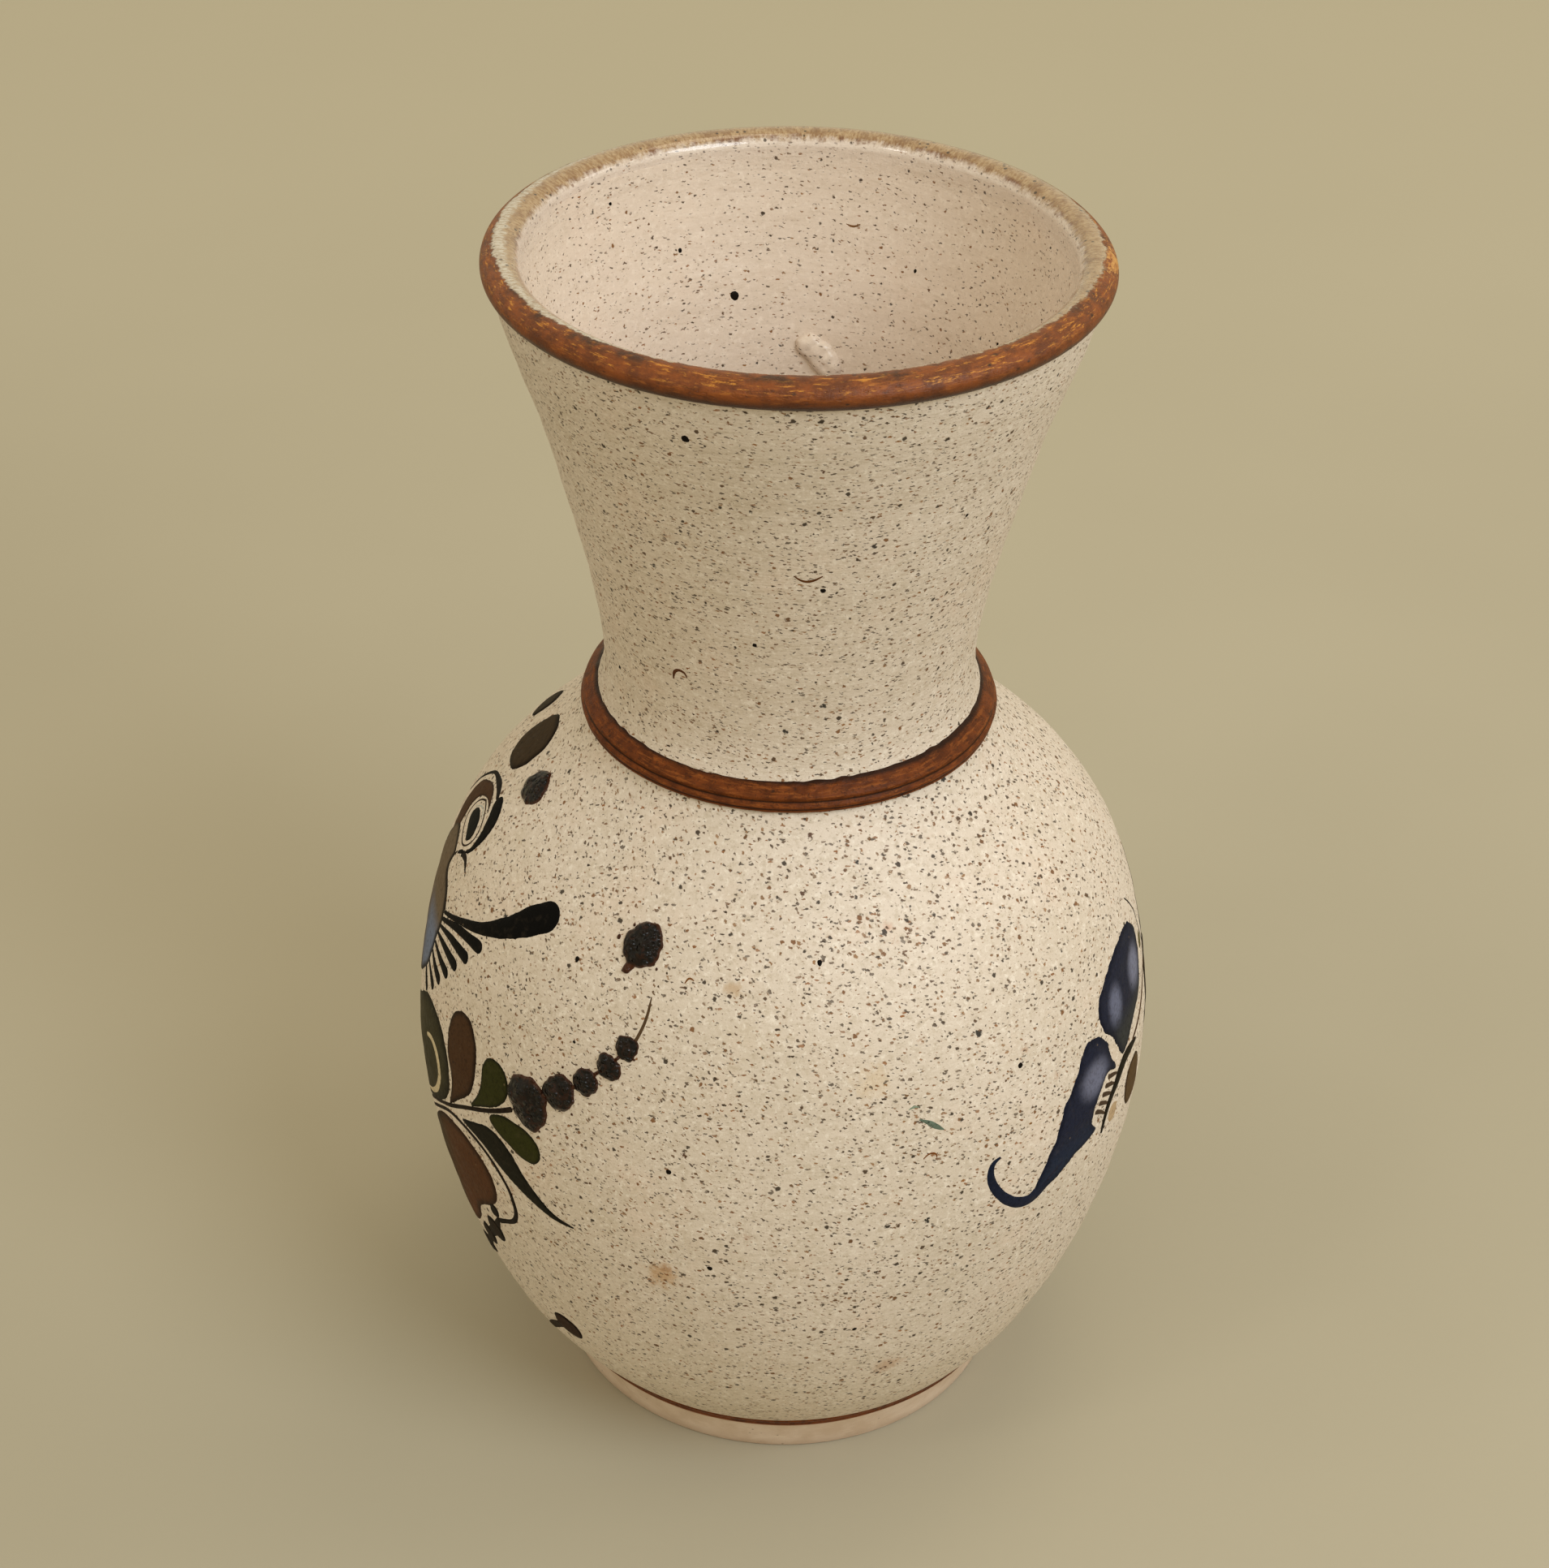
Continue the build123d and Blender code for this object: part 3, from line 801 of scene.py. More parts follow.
def clay_material():
    sh = Shader("bare_clay")
    cloth = sh.noise(0.12, 4, 0.6)
    c = sh.mix(sh.step(cloth, 0.35, 0.7), (217, 196, 177), (202, 178, 155))
    c = sh.mix(sh.step(sh.z, 4.0, 0.2, 0, 0.4), c, (176, 148, 124))
    turned = sh.noise(0.6, 4, 0.7, stretch=(0.4, 0.4, 2.0))
    c = sh.mix(sh.step(turned, 0.52, 0.75, 0, 0.5), c, (226, 208, 188))
    dark, _, _ = speckle(sh, sh.mm, 2.6, 0.14, 0.42, 0.5, 0.12)
    c = sh.mix(sh.mul(dark, 0.7), c, (92, 66, 48))
    n = sh.bump(sh.noise(1.2, 4, 0.6, stretch=(0.3, 0.3, 1.6)), 0.12, 0.5)
    n = sh.bump(sh.noise(3.0, 2), 0.06, 0.6, n)
    return sh.finish(c, sh.line(cloth, 0.3, 0.7, 0.55, 0.72), n, specular=0.35)


foot_section = subdivided(around(section("foot_ring")), 1.2)
foot = lathe("foot", foot_section, 256, clay_material(), wall_shift, closed=True, sharp=40)
give(foot, "bare_clay", "foot_ring")


fr, fz = belly_out[0]
crease_r = [np.interp(fz + h, belly_wall.p[:, 1], belly_wall.p[:, 0]) for h in (0.25, 0.85, 1.35)]
crease_points = [
    (fr - 1.9, fz - 0.8), (fr + 0.12, fz - 1.15), (fr + 0.52, fz - 0.5), (crease_r[0] + 0.45, fz + 0.25),
    (crease_r[1] + 0.30, fz + 0.85), (crease_r[2] - 0.15, fz + 1.35), (fr - 1.4, fz + 1.3),
    (fr - 2.0, fz + 0.3),
]
crease_section = spline(crease_points, 0.3, closed=True)


def crease_shift(a, r, z):
    """The brushed line's unevenness, on top of the wall's."""
    return hand(a, z) + 0.08 * np.sin(4 * a + 1) + 0.05 * np.sin(11 * a), 0.10 * np.sin(3 * a)


def crease_material():
    sh = Shader("crease_slip")
    c = sh.mix(sh.step(sh.noise(0.5, 4, 0.7), 0.38, 0.66), (108, 54, 20), (70, 34, 14))
    c = sh.mix(sh.step(sh.z, fz - 0.35, fz - 0.95, 0, 0.8), c, (150, 88, 44))
    rough = sh.line(sh.noise(1.5, 2), 0.3, 0.7, 0.35, 0.55)
    return sh.finish(c, rough, sh.bump(sh.noise(1.8, 3), 0.1, 0.6), specular=0.15)


crease = lathe(
    "foot_crease",
    crease_section,
    256,
    crease_material(),
    crease_shift,
    closed=True,
    sharp=60,
)
give(crease, "iron_slip", "foot_line")


# ---------------------------------------------------------------- painted strokes on the wall

INK = (7, 6, 6)
UMBER = (72, 48, 30)
LEAF = (49, 50, 18)
OLIVE = (56, 52, 34)
NAVY = (29, 33, 52)


def inside(poly, q):
    """Which points of q lie inside the closed polygon."""
    a, b = poly, np.roll(poly, -1, axis=0)
    x, y = q[:, 0:1], q[:, 1:2]
    cross = (a[:, 1] > y) != (b[:, 1] > y)
    dy = np.where(np.abs(b[:, 1] - a[:, 1]) < 1e-12, 1e-12, b[:, 1] - a[:, 1])
    return (cross & (x < (b[:, 0] - a[:, 0]) * (y - a[:, 1]) / dy + a[:, 0])).sum(1) % 2 == 1


def edge_distance(poly, q):
    """Distance from each point of q to the closed polygon."""
    a, b = poly, np.roll(poly, -1, axis=0)
    d = b - a
    t = np.clip(((q[:, None] - a) * d).sum(2) / np.maximum((d * d).sum(1), 1e-12), 0, 1)
    return np.linalg.norm(q[:, None] - a - t[:, :, None] * d, axis=2).min(1)


def open_edges(tris):
    """Edges of one triangle only, in its own direction."""
    seen = dict.fromkeys(e for a, b, c in tris for e in ((a, b), (b, c), (c, a)))
    return [e for e in seen if (e[1], e[0]) not in seen]


class Paint:
    """Strokes of slip that lie on a wall, gathered into one mesh."""

    def __init__(self, wall=belly_wall):
        self.verts, self.faces, self.colour = [], [], []
        self.count = 0
        self.wall = wall

    def chart(self, points):
        """(azimuth degrees, height) to millimetres on the wall round the shape's middle."""
        p = np.asarray(points, float)
        s = self.wall.s_at(p[:, 1])
        r0 = self.wall.at(s.mean())[0]
        return np.c_[np.radians(p[:, 0]) * r0, s], r0

    def lay(self, xy, r0, tris, lift, colour):
        """Adds a top skin, a skin just inside the wall, and the strip between them."""
        rim_edges = open_edges(tris)
        az = xy[:, 0] / r0
        top = place(az, xy[:, 1], lift, self.wall)
        low = place(az, xy[:, 1], np.full(len(az), -0.35), self.wall)
        if self.wall.side < 0:
            tris = [(a, c, b) for a, b, c in tris]
            rim_edges = [(b, a) for a, b in rim_edges]
        n, base = len(xy), self.count
        self.verts += [top, low]
        self.colour += [colour, colour]
        self.faces += [(base + a, base + b, base + c) for a, b, c in tris]
        self.faces += [(base + n + a, base + n + c, base + n + b) for a, b, c in tris]
        self.faces += [(base + b, base + a, base + n + a, base + n + b) for a, b in rim_edges]
        self.count += 2 * n

    def patch(
        self, outline, rgb, rim=None, rim_width=0.7, height=0.12, grid=0.55, shade=None, rough=0.06,
        dome=0.8, bumps=None
    ):
        """A filled shape with that outline. rim darkens its edge, and shade(colour, az, height, reach)
        can repaint it, where reach is the distance from its edge. bumps(xy) adds height."""
        xy, r0 = self.chart(outline)
        poly = spline(xy, 0.42, closed=True)
        out = poly - poly.mean(0)
        out /= np.maximum(np.linalg.norm(out, axis=1)[:, None], 1e-9)
        jitter = rng.normal(0, 1, len(poly))
        jitter = np.convolve(np.r_[jitter[-4:], jitter, jitter[:4]], np.ones(5) / 5, "same")[4:-4]
        poly = poly + out * jitter[:, None] * rough * 2
        low, high = poly.min(0), poly.max(0)
        gx = np.arange(low[0], high[0], grid)
        gy = np.arange(low[1], high[1], grid * 0.87)
        q = np.array([(x + (0.5 * grid if i % 2 else 0), y) for i, y in enumerate(gy) for x in gx])
        q = q[inside(poly, q)]
        q = q[edge_distance(poly, q) > 0.30 * grid]
        edges = [(i, (i + 1) % len(poly)) for i in range(len(poly))]
        vs, _, fs, _, _, _ = delaunay_2d_cdt([Vector(p) for p in np.vstack([poly, q])], edges, [], 1, 1e-6)
        xy = np.array([(p.x, p.y) for p in vs])
        tris = []
        for f in fs:
            a, b, c = xy[list(f)][:3]
            u, w = b - a, c - a
            area = u[0] * w[1] - u[1] * w[0]
            if abs(area) > 1e-9:
                tris.append(tuple(f) if area > 0 else tuple(f)[::-1])
        d = edge_distance(poly, xy)
        t = np.clip(d / dome, 0, 1)
        lift = -0.05 + (height + 0.05) * np.sqrt(np.clip(1 - (1 - t) ** 2, 0, 1))
        if bumps is not None:
            lift = lift + bumps(xy) * t
        colour = np.repeat(linear(rgb)[None], len(xy), 0)
        if shade is not None:
            height_at = np.interp(xy[:, 1], self.wall.s, self.wall.p[:, 1])
            colour = shade(colour, np.degrees(xy[:, 0] / r0), height_at, d)
        if rim is not None:
            w = np.clip(1.2 - d / rim_width, 0, 1)[:, None]
            colour = colour * (1 - w) + linear(rim) * w
        self.lay(xy, r0, tris, lift, colour)

    def stroke(self, points, widths, rgb, height=0.12, step=0.45, across=7, rim=None, end=None):
        """A brush line along points, widths in millimetres at each point, with round ends. end is
        the colour it fades to."""
        xy, r0 = self.chart(points)
        both = spline(np.c_[xy, np.asarray(widths, float)], step)
        line, half = both[:, :2], np.maximum(both[:, 2] / 2, 0.09)
        half = half * (1 + 0.05 * np.convolve(rng.normal(0, 1, len(half) + 4), np.ones(5) / 5, "valid"))
        tangent = np.gradient(line, axis=0)
        tangent /= np.maximum(np.linalg.norm(tangent, axis=1)[:, None], 1e-9)

        def cap(at, sign):
            """A round end, from its tip inwards."""
            angles = np.radians(np.linspace(8, 78, 6))
            reach, wide = half[at] * np.cos(angles), half[at] * np.sin(angles)
            return [(line[at] + sign * tangent[at] * r, tangent[at], w) for r, w in zip(reach, wide)]

        spine = cap(0, -1) + list(zip(line, tangent, half)) + cap(-1, 1)[::-1]
        lat = np.cos(np.linspace(np.pi, 0, across))
        xy2, lift, share = [], [], []
        for k, (p, t, h) in enumerate(spine):
            side = np.array([t[1], -t[0]])
            for u in lat:
                xy2.append(p + side * u * h)
                bulge = math.sqrt(max(0.0, 1 - u * u))
                lift.append(-0.05 + (height * min(1, h / 0.6) + 0.05) * bulge)
                share.append(k / (len(spine) - 1))
        xy2, lift, share = np.array(xy2), np.array(lift), np.array(share)
        tris = []
        for k in range(len(spine) - 1):
            for j in range(across - 1):
                a, b = k * across + j, k * across + j + 1
                c, d = a + across, b + across
                tris += [(a, b, d), (a, d, c)]
        first = xy2[list(tris[len(tris) // 2])]
        u, w = first[1] - first[0], first[2] - first[0]
        if u[0] * w[1] - u[1] * w[0] < 0:
            tris = [(a, c, b) for a, b, c in tris]
        colour = np.repeat(linear(rgb)[None], len(xy2), 0)
        if end is not None:
            w = np.clip(share * 1.4 - 0.3, 0, 1)[:, None]
            colour = colour * (1 - w) + linear(end) * w
        if rim is not None:
            w = (np.abs(np.tile(lat, len(spine))) > 0.75).astype(float)[:, None] * 0.8
            colour = colour * (1 - w) + linear(rim) * w
        self.lay(xy2, r0, tris, lift, colour)

    def oval(self, az, z, half_az, half_z, rgb, **more):
        """A slightly squared oval: half_az is in degrees of azimuth and half_z in millimetres."""
        t = np.radians(np.arange(0, 360, 30))
        x, y = [h * np.sign(q) * np.abs(q) ** 0.86 for h, q in ((half_az, np.cos(t)), (half_z, np.sin(t)))]
        self.patch(np.c_[az + x, z + y], rgb, **more)

    def build(self, name, material, slot="iron_slip"):
        o = mesh_object(name, np.vstack(self.verts), self.faces, material)
        tints(o, "tint", np.vstack(self.colour))
        return give(o, slot)


slip = slip_shader("painted_slip")


def fade(low, high, value):
    """Smooth step from 0 at low to 1 at high, as a column."""
    t = np.clip((value - low) / (high - low), 0, 1)
    return (t * t * (3 - 2 * t))[:, None]


def blend(colour, rgb, w):
    return colour * (1 - w) + linear(rgb) * w


# the bird on the left flank
bird = Paint()


def bird_body(c, az, z, d):
    c = blend(c, (112, 96, 78), fade(101, 116, z) * 0.8)
    blue = fade(-90, -80, az) * (1 - fade(110, 116, z)) * fade(93, 101, z)
    c = blend(c, (112, 124, 152), blue * 0.9)
    c = blend(c, (50, 42, 34), fade(-92, -104, az) * 0.75)
    return blend(c, (30, 26, 22), (1 - fade(0.5, 1.6, d)) * 0.9)


bird.patch(
    [
        (-81.9, 125.6), (-81.9, 123.4), (-80.6, 122.2), (-78.1, 121.4), (-76.0, 119.6), (-74.6, 117.4),
        (-75.1, 111.7), (-75.8, 107), (-77.3, 103), (-80, 99.2), (-84, 95), (-90, 90.5), (-99, 86.5),
        (-109, 86), (-116, 89), (-113, 94), (-107, 101), (-101, 109), (-96.5, 116), (-93.5, 121.5),
        (-91, 126.5), (-87, 128.2), (-84, 127.4)
    ],
    (84, 70, 56),
    shade=bird_body,
    height=0.13,
)
bird.stroke(
    [(-87.0, 125.0), (-86.5, 120.3), (-86.2, 117.2), (-85.2, 114.7), (-84.8, 111.6), (-83.3, 109.0)],
    [0.4, 0.4, 0.45, 0.5, 0.5, 0.4], (176, 168, 156), height=0.2
)
bird.patch(
    [
        (-81.4, 138.9), (-80.4, 139.9), (-77.8, 139.7), (-76.2, 138.9), (-74.9, 137.7), (-74.3, 136.3),
        (-74.2, 134.4), (-74.6, 132.6), (-75.9, 130.4), (-78.6, 128.1), (-81.6, 126.2), (-80.6, 127.8),
        (-79.2, 128.9), (-77.2, 130.4), (-76.8, 131.9), (-77.0, 133.6), (-78.0, 135.3), (-79.0, 136.3),
        (-80.2, 137.3)
    ], INK
)
bird.stroke(
    [
        (-98.5, 128.5), (-97.5, 131.5), (-95.8, 134.3), (-93.8, 136.5), (-91.7, 138.0), (-88.7, 138.9),
        (-86.2, 139.3), (-83.6, 139.3), (-81.6, 138.9)
    ], [0.6, 0.7, 0.8, 0.9, 1.0, 1.4, 1.9, 1.7, 1.2], (24, 20, 17)
)
bird.patch(
    [
        (-92.5, 123.6), (-95, 127), (-95.6, 131), (-94.2, 134.4), (-91.9, 136.1), (-89.5, 137.4),
        (-86.6, 138.2), (-84.1, 138.0), (-82.3, 137.4), (-80.9, 136.8), (-79.6, 135.9), (-81.5, 136.4),
        (-84.0, 136.5), (-86.1, 135.9), (-88.3, 134.5), (-89.2, 132.9), (-89.4, 131.5), (-88.9, 130.3),
        (-88.4, 128.8), (-88.0, 127.0), (-88.6, 124.8)
    ],
    UMBER,
    rim=(34, 24, 18),
    rim_width=0.5,
)
bird.stroke(
    [
        (-84.8, 136.1), (-82.2, 135.9), (-80.1, 135.2), (-77.8, 133.3), (-78.2, 130.9), (-81.1, 128.8),
        (-83.2, 129.0), (-85.5, 129.6), (-87.4, 130.6), (-88.0, 132.6), (-86.9, 134.8), (-84.8, 136.1)
    ], [0.5] * 12, (44, 30, 20)
)
bird.patch(
    [
        (-85.4, 134.1), (-82.7, 134.7), (-80.2, 133.9), (-79.2, 132.8), (-79.0, 131.2), (-80.2, 129.9),
        (-82.7, 130.4), (-85.1, 131.2), (-86.3, 132.5)
    ], (16, 18, 15)
)
bird.stroke(
    [(-86.4, 133.6), (-84.6, 134.9), (-82.3, 135.3), (-80.6, 134.7)], [0.35, 0.4, 0.4, 0.3],
    (186, 186, 180), height=0.16
)
bird.patch(
    [
        (-79.3, 127.5), (-77.2, 128.1), (-74.6, 127.9), (-72.2, 127.2), (-73.4, 128.2), (-74.8, 129.1),
        (-76.6, 129.6), (-78.4, 128.7)
    ], (34, 28, 22)
)
bird.stroke(
    [
        (-81.3, 126.7), (-82.2, 124.7), (-82.0, 123.0), (-80.7, 122.0), (-78.1, 121.2), (-76.0, 119.6),
        (-74.4, 118.0)
    ], [0.6, 0.7, 0.8, 0.8, 0.8, 0.8, 0.8], (36, 28, 22)
)
bird.stroke(
    [(-90, 127.5), (-92, 124), (-95, 119), (-99, 112), (-105, 104), (-111, 97), (-116, 92)], [0.7] * 7,
    (30, 25, 21)
)
# breast feathers and the long comma stroke
bird.stroke(
    [
        (-74.4, 118.1), (-69.8, 120.4), (-65.2, 122.7), (-60.9, 124.8), (-56.6, 127.5), (-52.9, 130.2),
        (-49.6, 132.9), (-47.0, 134.7)
    ], [0.9, 1.3, 1.9, 2.6, 3.9, 5.2, 6.4, 6.6], INK, height=0.22
)
for start, middle, tip, wide in (
    ((-75.0, 116.2), (-67.3, 120.0), (-59.4, 121.9), 2.4),
    ((-74.9, 114.6), (-68.8, 116.8), (-62.1, 117.7), 2.4),
    ((-74.9, 112.8), (-70.2, 113.5), (-65.0, 113.7), 2.3),
    ((-75.0, 110.4), (-71.2, 110.1), (-67.4, 109.9), 2.2),
    ((-75.4, 107.9), (-72.9, 107.0), (-69.9, 106.3), 2.2),
    ((-76.4, 104.6), (-74.7, 103.6), (-72.6, 102.6), 2.2),
    ((-78.4, 101.6), (-77.2, 100.3), (-76.0, 99.0), 2.0),
):
    bird.stroke([start, middle, tip], [0.9, 1.9, wide * 1.2], INK, height=0.16)
# wing and tail on the hidden flank
for k, (tip_az, tip_z) in enumerate(
    ((-132, 124), (-137, 115), (-140, 105.5), (-140, 96), (-137, 87), (-131, 79.5))
):
    mid_az, mid_z = (-113 + tip_az) / 2, (93.5 + tip_z) / 2 + 2.5
    bird.stroke(
        [(-112, 93.5), (mid_az, mid_z), (tip_az, tip_z)], [0.9, 2.4, 3.6], INK if k % 2 else UMBER,
        rim=(30, 24, 20), height=0.2
    )
bird.patch(
    [
        (-92, 115), (-97, 113.5), (-103, 107), (-108, 99.5), (-110, 93.5), (-105, 94.5), (-98, 98.5),
        (-92.5, 104.5), (-90, 110.5)
    ], (70, 58, 44), rim=INK, rim_width=0.8
)
for k in range(4):
    bird.stroke(
        [
            (-93 - 3.2 * k, 112 - 3.6 * k), (-95.5 - 3.2 * k, 108.5 - 3.4 * k),
            (-95 - 3.2 * k, 105 - 3.0 * k)
        ], [0.5, 0.8, 0.4], (176, 160, 132)
    )
bird.build("bird_paint", slip)

# the branch, leaves and petals below the bird
branch = Paint()


def swirl(c, az, z, d):
    c = blend(c, (74, 68, 46), fade(-72, -80, az) * 0.5)
    return blend(c, (26, 23, 15), (1 - fade(0.5, 3.2, d)) * 0.75)


branch.patch(
    [
        (-92, 76), (-88, 84), (-84, 90), (-80, 93.6), (-77, 96.8), (-73, 99.3), (-69.3, 99.6),
        (-65, 98.0), (-62.2, 94.8), (-61, 90), (-61.2, 86), (-63.2, 82.3), (-66.4, 79), (-70, 76),
        (-76, 71), (-83, 66), (-89, 66.5)
    ],
    OLIVE,
    shade=swirl,
)
branch.stroke(
    [
        (-72.2, 90.4), (-69.4, 91.8), (-66.6, 90.8), (-65.2, 88), (-65.4, 84.6), (-67.2, 81.2),
        (-70.2, 77.8), (-75, 73.6)
    ], [1.2, 2.0, 2.6, 2.6, 2.3, 2.0, 1.5, 0.9], (206, 190, 158), height=0.2
)


def umber_leaf(c, az, z, d):
    return blend(c, (24, 16, 11), (1 - fade(0.2, 1.6, d)) * 0.85)


branch.patch(
    [
        (-60.7, 84), (-60.2, 89), (-61.8, 95), (-62.8, 100), (-62.0, 104.8), (-59.3, 107.8),
        (-56.1, 107.8), (-53.7, 104), (-53.1, 98), (-53.6, 93.6), (-56, 89.6), (-58.6, 86.4)
    ], UMBER, shade=umber_leaf, height=0.15
)
branch.patch(
    [
        (-54.1, 89.6), (-52.2, 94), (-51.6, 99), (-51.4, 102.4), (-49.4, 104.9), (-46.6, 104.4),
        (-44.9, 101.2), (-45.6, 97.2), (-48.6, 93.8), (-51.6, 91.4)
    ], LEAF, rim=(20, 19, 10), height=0.15
)
branch.patch(
    [
        (-48.8, 91.2), (-46.8, 93.8), (-43.6, 94.9), (-39.8, 94.4), (-37.4, 91.6), (-38.1, 88.2),
        (-41.2, 87.3), (-44.4, 88.4), (-47.2, 89.6)
    ], LEAF, rim=(20, 19, 10), height=0.15
)
branch.stroke(
    [(-78, 68.5), (-72, 74), (-66, 79.2), (-60.5, 83.7), (-54.6, 88.6), (-49, 92.8), (-44, 97)],
    [0.6, 0.8, 0.9, 1.0, 1.0, 1.1, 1.2], (30, 20, 14)
)
branch.patch(
    [
        (-56.5, 84.1), (-53, 86.6), (-49.3, 88.7), (-45.6, 88.2), (-42.4, 85.4), (-39.8, 82),
        (-36.6, 78.6), (-33.6, 76.8), (-30.4, 76.2), (-33, 75.5), (-36, 75.7), (-38.9, 76.8), (-43, 78.9),
        (-47.2, 81.2), (-51.2, 83.3)
    ], (30, 28, 20), rim=(14, 13, 10), height=0.15
)
branch.stroke(
    [
        (-78, 66), (-72, 72), (-66, 77.6), (-61, 81.4), (-55.7, 82.8), (-49.9, 81.6), (-46, 78),
        (-44.2, 74), (-43.9, 70.4), (-44.9, 67), (-47.2, 64.5), (-49.4, 62.6)
    ], [0.6, 0.8, 0.9, 1.0, 1.1, 1.1, 1.2, 1.2, 1.3, 1.3, 1.3, 1.4], (28, 20, 14)
)
branch.oval(-50.6, 64.4, 1.35, 1.9, (28, 21, 16), height=0.2)


def petal(c, az, z, d):
    c = blend(c, (92, 50, 26), (1 - fade(50, 66, z)) * fade(-72, -58, az) * 0.9)
    c = blend(c, (56, 46, 26), (1 - fade(-70, -60, az)) * 0.8)
    return blend(c, (30, 19, 12), (1 - fade(0.4, 2.2, d)) * 0.7)


branch.patch(
    [
        (-83, 57), (-77, 64), (-70.5, 71.5), (-65.3, 77.2), (-60.5, 79.7), (-55.7, 80.2), (-51.5, 78.5),
        (-48.9, 75.3), (-48.3, 71), (-49.9, 66.8), (-53.2, 63.2), (-56, 60), (-57.2, 56.6), (-59.4, 52.4),
        (-63.4, 48.0), (-69, 44), (-76, 41.5), (-82, 44), (-85, 50)
    ],
    (84, 52, 30),
    shade=petal,
    height=0.15,
)
for az, z, r in (
    (-52.3, 57.1, 3.0), (-56.6, 51.0, 2.7), (-60.6, 43.6, 2.5), (-65.5, 38.6, 2.6), (-71.5, 33.5, 2.9)
):
    branch.oval(az, z, r / 1.2, r, (34, 24, 16), rim=(18, 13, 10), height=0.24)
branch.stroke(
    [(-49.9, 62.4), (-52.3, 57.1), (-56.6, 51.0), (-60.6, 43.6), (-65.5, 38.6), (-71.5, 33.5), (-77, 30)],
    [1.2, 2.6, 2.4, 2.4, 2.3, 2.0, 1.0], (30, 22, 15), height=0.16
)
branch.oval(-40.1, 36.4, 3.2, 3.9, (50, 30, 18), rim=(24, 15, 10), height=0.22)
branch.stroke(
    [(-42.6, 34.4), (-46.5, 30.2), (-50, 25.8), (-54, 20.6)], [2.4, 2.4, 2.2, 0.8], (40, 26, 16)
)
branch.stroke(
    [(-23.4, 121.8), (-22.6, 124.4), (-22, 128), (-22.0, 130.2)], [0.8, 0.7, 0.6, 0.3], (86, 66, 46),
    height=0.09
)
for az, z, r in ((-21.3, 132.1, 0.25), (-20.7, 133.2, 0.2), (-20.3, 134.4, 0.26)):
    branch.oval(az, z, r, r, (80, 62, 44), height=0.08, grid=0.25, dome=0.2)
branch.oval(
    -92.2, 145.8, 7.8, 4.7, (58, 44, 28), rim=(26, 18, 12), rim_width=1.2, height=0.3, dome=1.6, rough=0.1
)
branch.oval(-111.4, 143.6, 4.3, 2.7, (48, 38, 26), rim=(26, 19, 13), rim_width=1.1, height=0.3, dome=1.6)
branch.oval(-147, 143.0, 4.4, 2.6, (42, 30, 20), rim=(24, 17, 12), height=0.3, dome=1.4)
branch.build("branch_paint", slip)

# the butterfly on the right flank
fly = Paint()


def wing(spots, dusk=(), edge=(2.2, 0.8)):
    """Shade of a wing: pale spots, a dusky lower part and a dark edge of that reach and strength."""

    def shade(c, az, z, d):
        for rgb, share, at_az, at_z, wide, tall in spots:
            away = np.hypot((az - at_az) / wide, (z - at_z) / tall)
            c = blend(c, rgb, (1 - fade(0.35, 1.15, away)) * share)
        for rgb, share, low, high in dusk:
            c = blend(c, rgb, (1 - fade(low, high, z)) * share)
        return blend(c, (14, 18, 34), (1 - fade(0.2, edge[0], d)) * edge[1])

    return shade


UPPER_SPOTS = (((106, 110, 134), 0.9, 64.8, 108, 3.0, 5.2), ((120, 123, 146), 0.9, 75.2, 108.4, 4.0, 5.4))
LOWER_SPOTS = (((110, 113, 136), 0.9, 56, 98, 4.6, 4.8),)
FAR_UPPER_SPOTS = (((98, 102, 130), 0.85, 103, 105.4, 5.4, 5.0),)
FAR_LOWER_SPOTS = (((98, 102, 130), 0.85, 100.6, 87.4, 4.4, 4.2),)
fly.patch(
    [
        (59, 109), (59.6, 112.6), (62.4, 115.2), (66.2, 117.1), (69.6, 117.9), (73.8, 118.2),
        (76.8, 117.3), (79.3, 115), (80.5, 112), (80.3, 108.5), (79, 105), (77, 102), (73.8, 99.4),
        (69.4, 97.2), (66, 95.2), (64.6, 97.2), (63.2, 100.2), (61.2, 103.8), (59.5, 106.4)
    ],
    NAVY,
    shade=wing(UPPER_SPOTS, (((52, 54, 52), 0.8, 99, 107),)),
    height=0.14,
    rough=0.16,
)
fly.patch(
    [
        (42.4, 84.6), (44.4, 89.0), (46.2, 92.8), (47.6, 96.6), (50, 100.2), (52.2, 104.2), (54.2, 106.7),
        (56.6, 107), (59, 105), (61, 101.6), (61.8, 98), (62.9, 94.6), (60.2, 95.8), (57.9, 93.7),
        (55.4, 90.2), (55.2, 87.4), (56.4, 85.5), (52.2, 84.2), (48.4, 82.4), (45.6, 81.0), (43.2, 80.4),
        (41.4, 81.4)
    ],
    NAVY,
    shade=wing(LOWER_SPOTS, (((30, 42, 62), 0.6, 84, 92),), (2.0, 0.75)),
    height=0.14,
    rough=0.16,
)
fly.stroke(
    [
        (46, 84), (43.6, 82.4), (40.8, 80.3), (37.7, 81.5), (35, 84.8), (33.1, 89.0), (32.7, 92.2),
        (33.3, 93.9), (34.3, 94.5)
    ], [4.6, 3.9, 3.0, 2.6, 2.3, 2.1, 1.7, 1.2, 0.7], NAVY, height=0.15, end=(20, 28, 46)
)
for k in range(5):
    t = k / 4
    a = (56.2 + 4.2 * t, 89.6 + 5.0 * t)
    b = (59.0 + 4.2 * t, 86.8 + 6.4 * t)
    fly.stroke([a, ((a[0] + b[0]) / 2 + 0.2, (a[1] + b[1]) / 2), b], [1.2, 1.0, 0.5], (70, 54, 40))
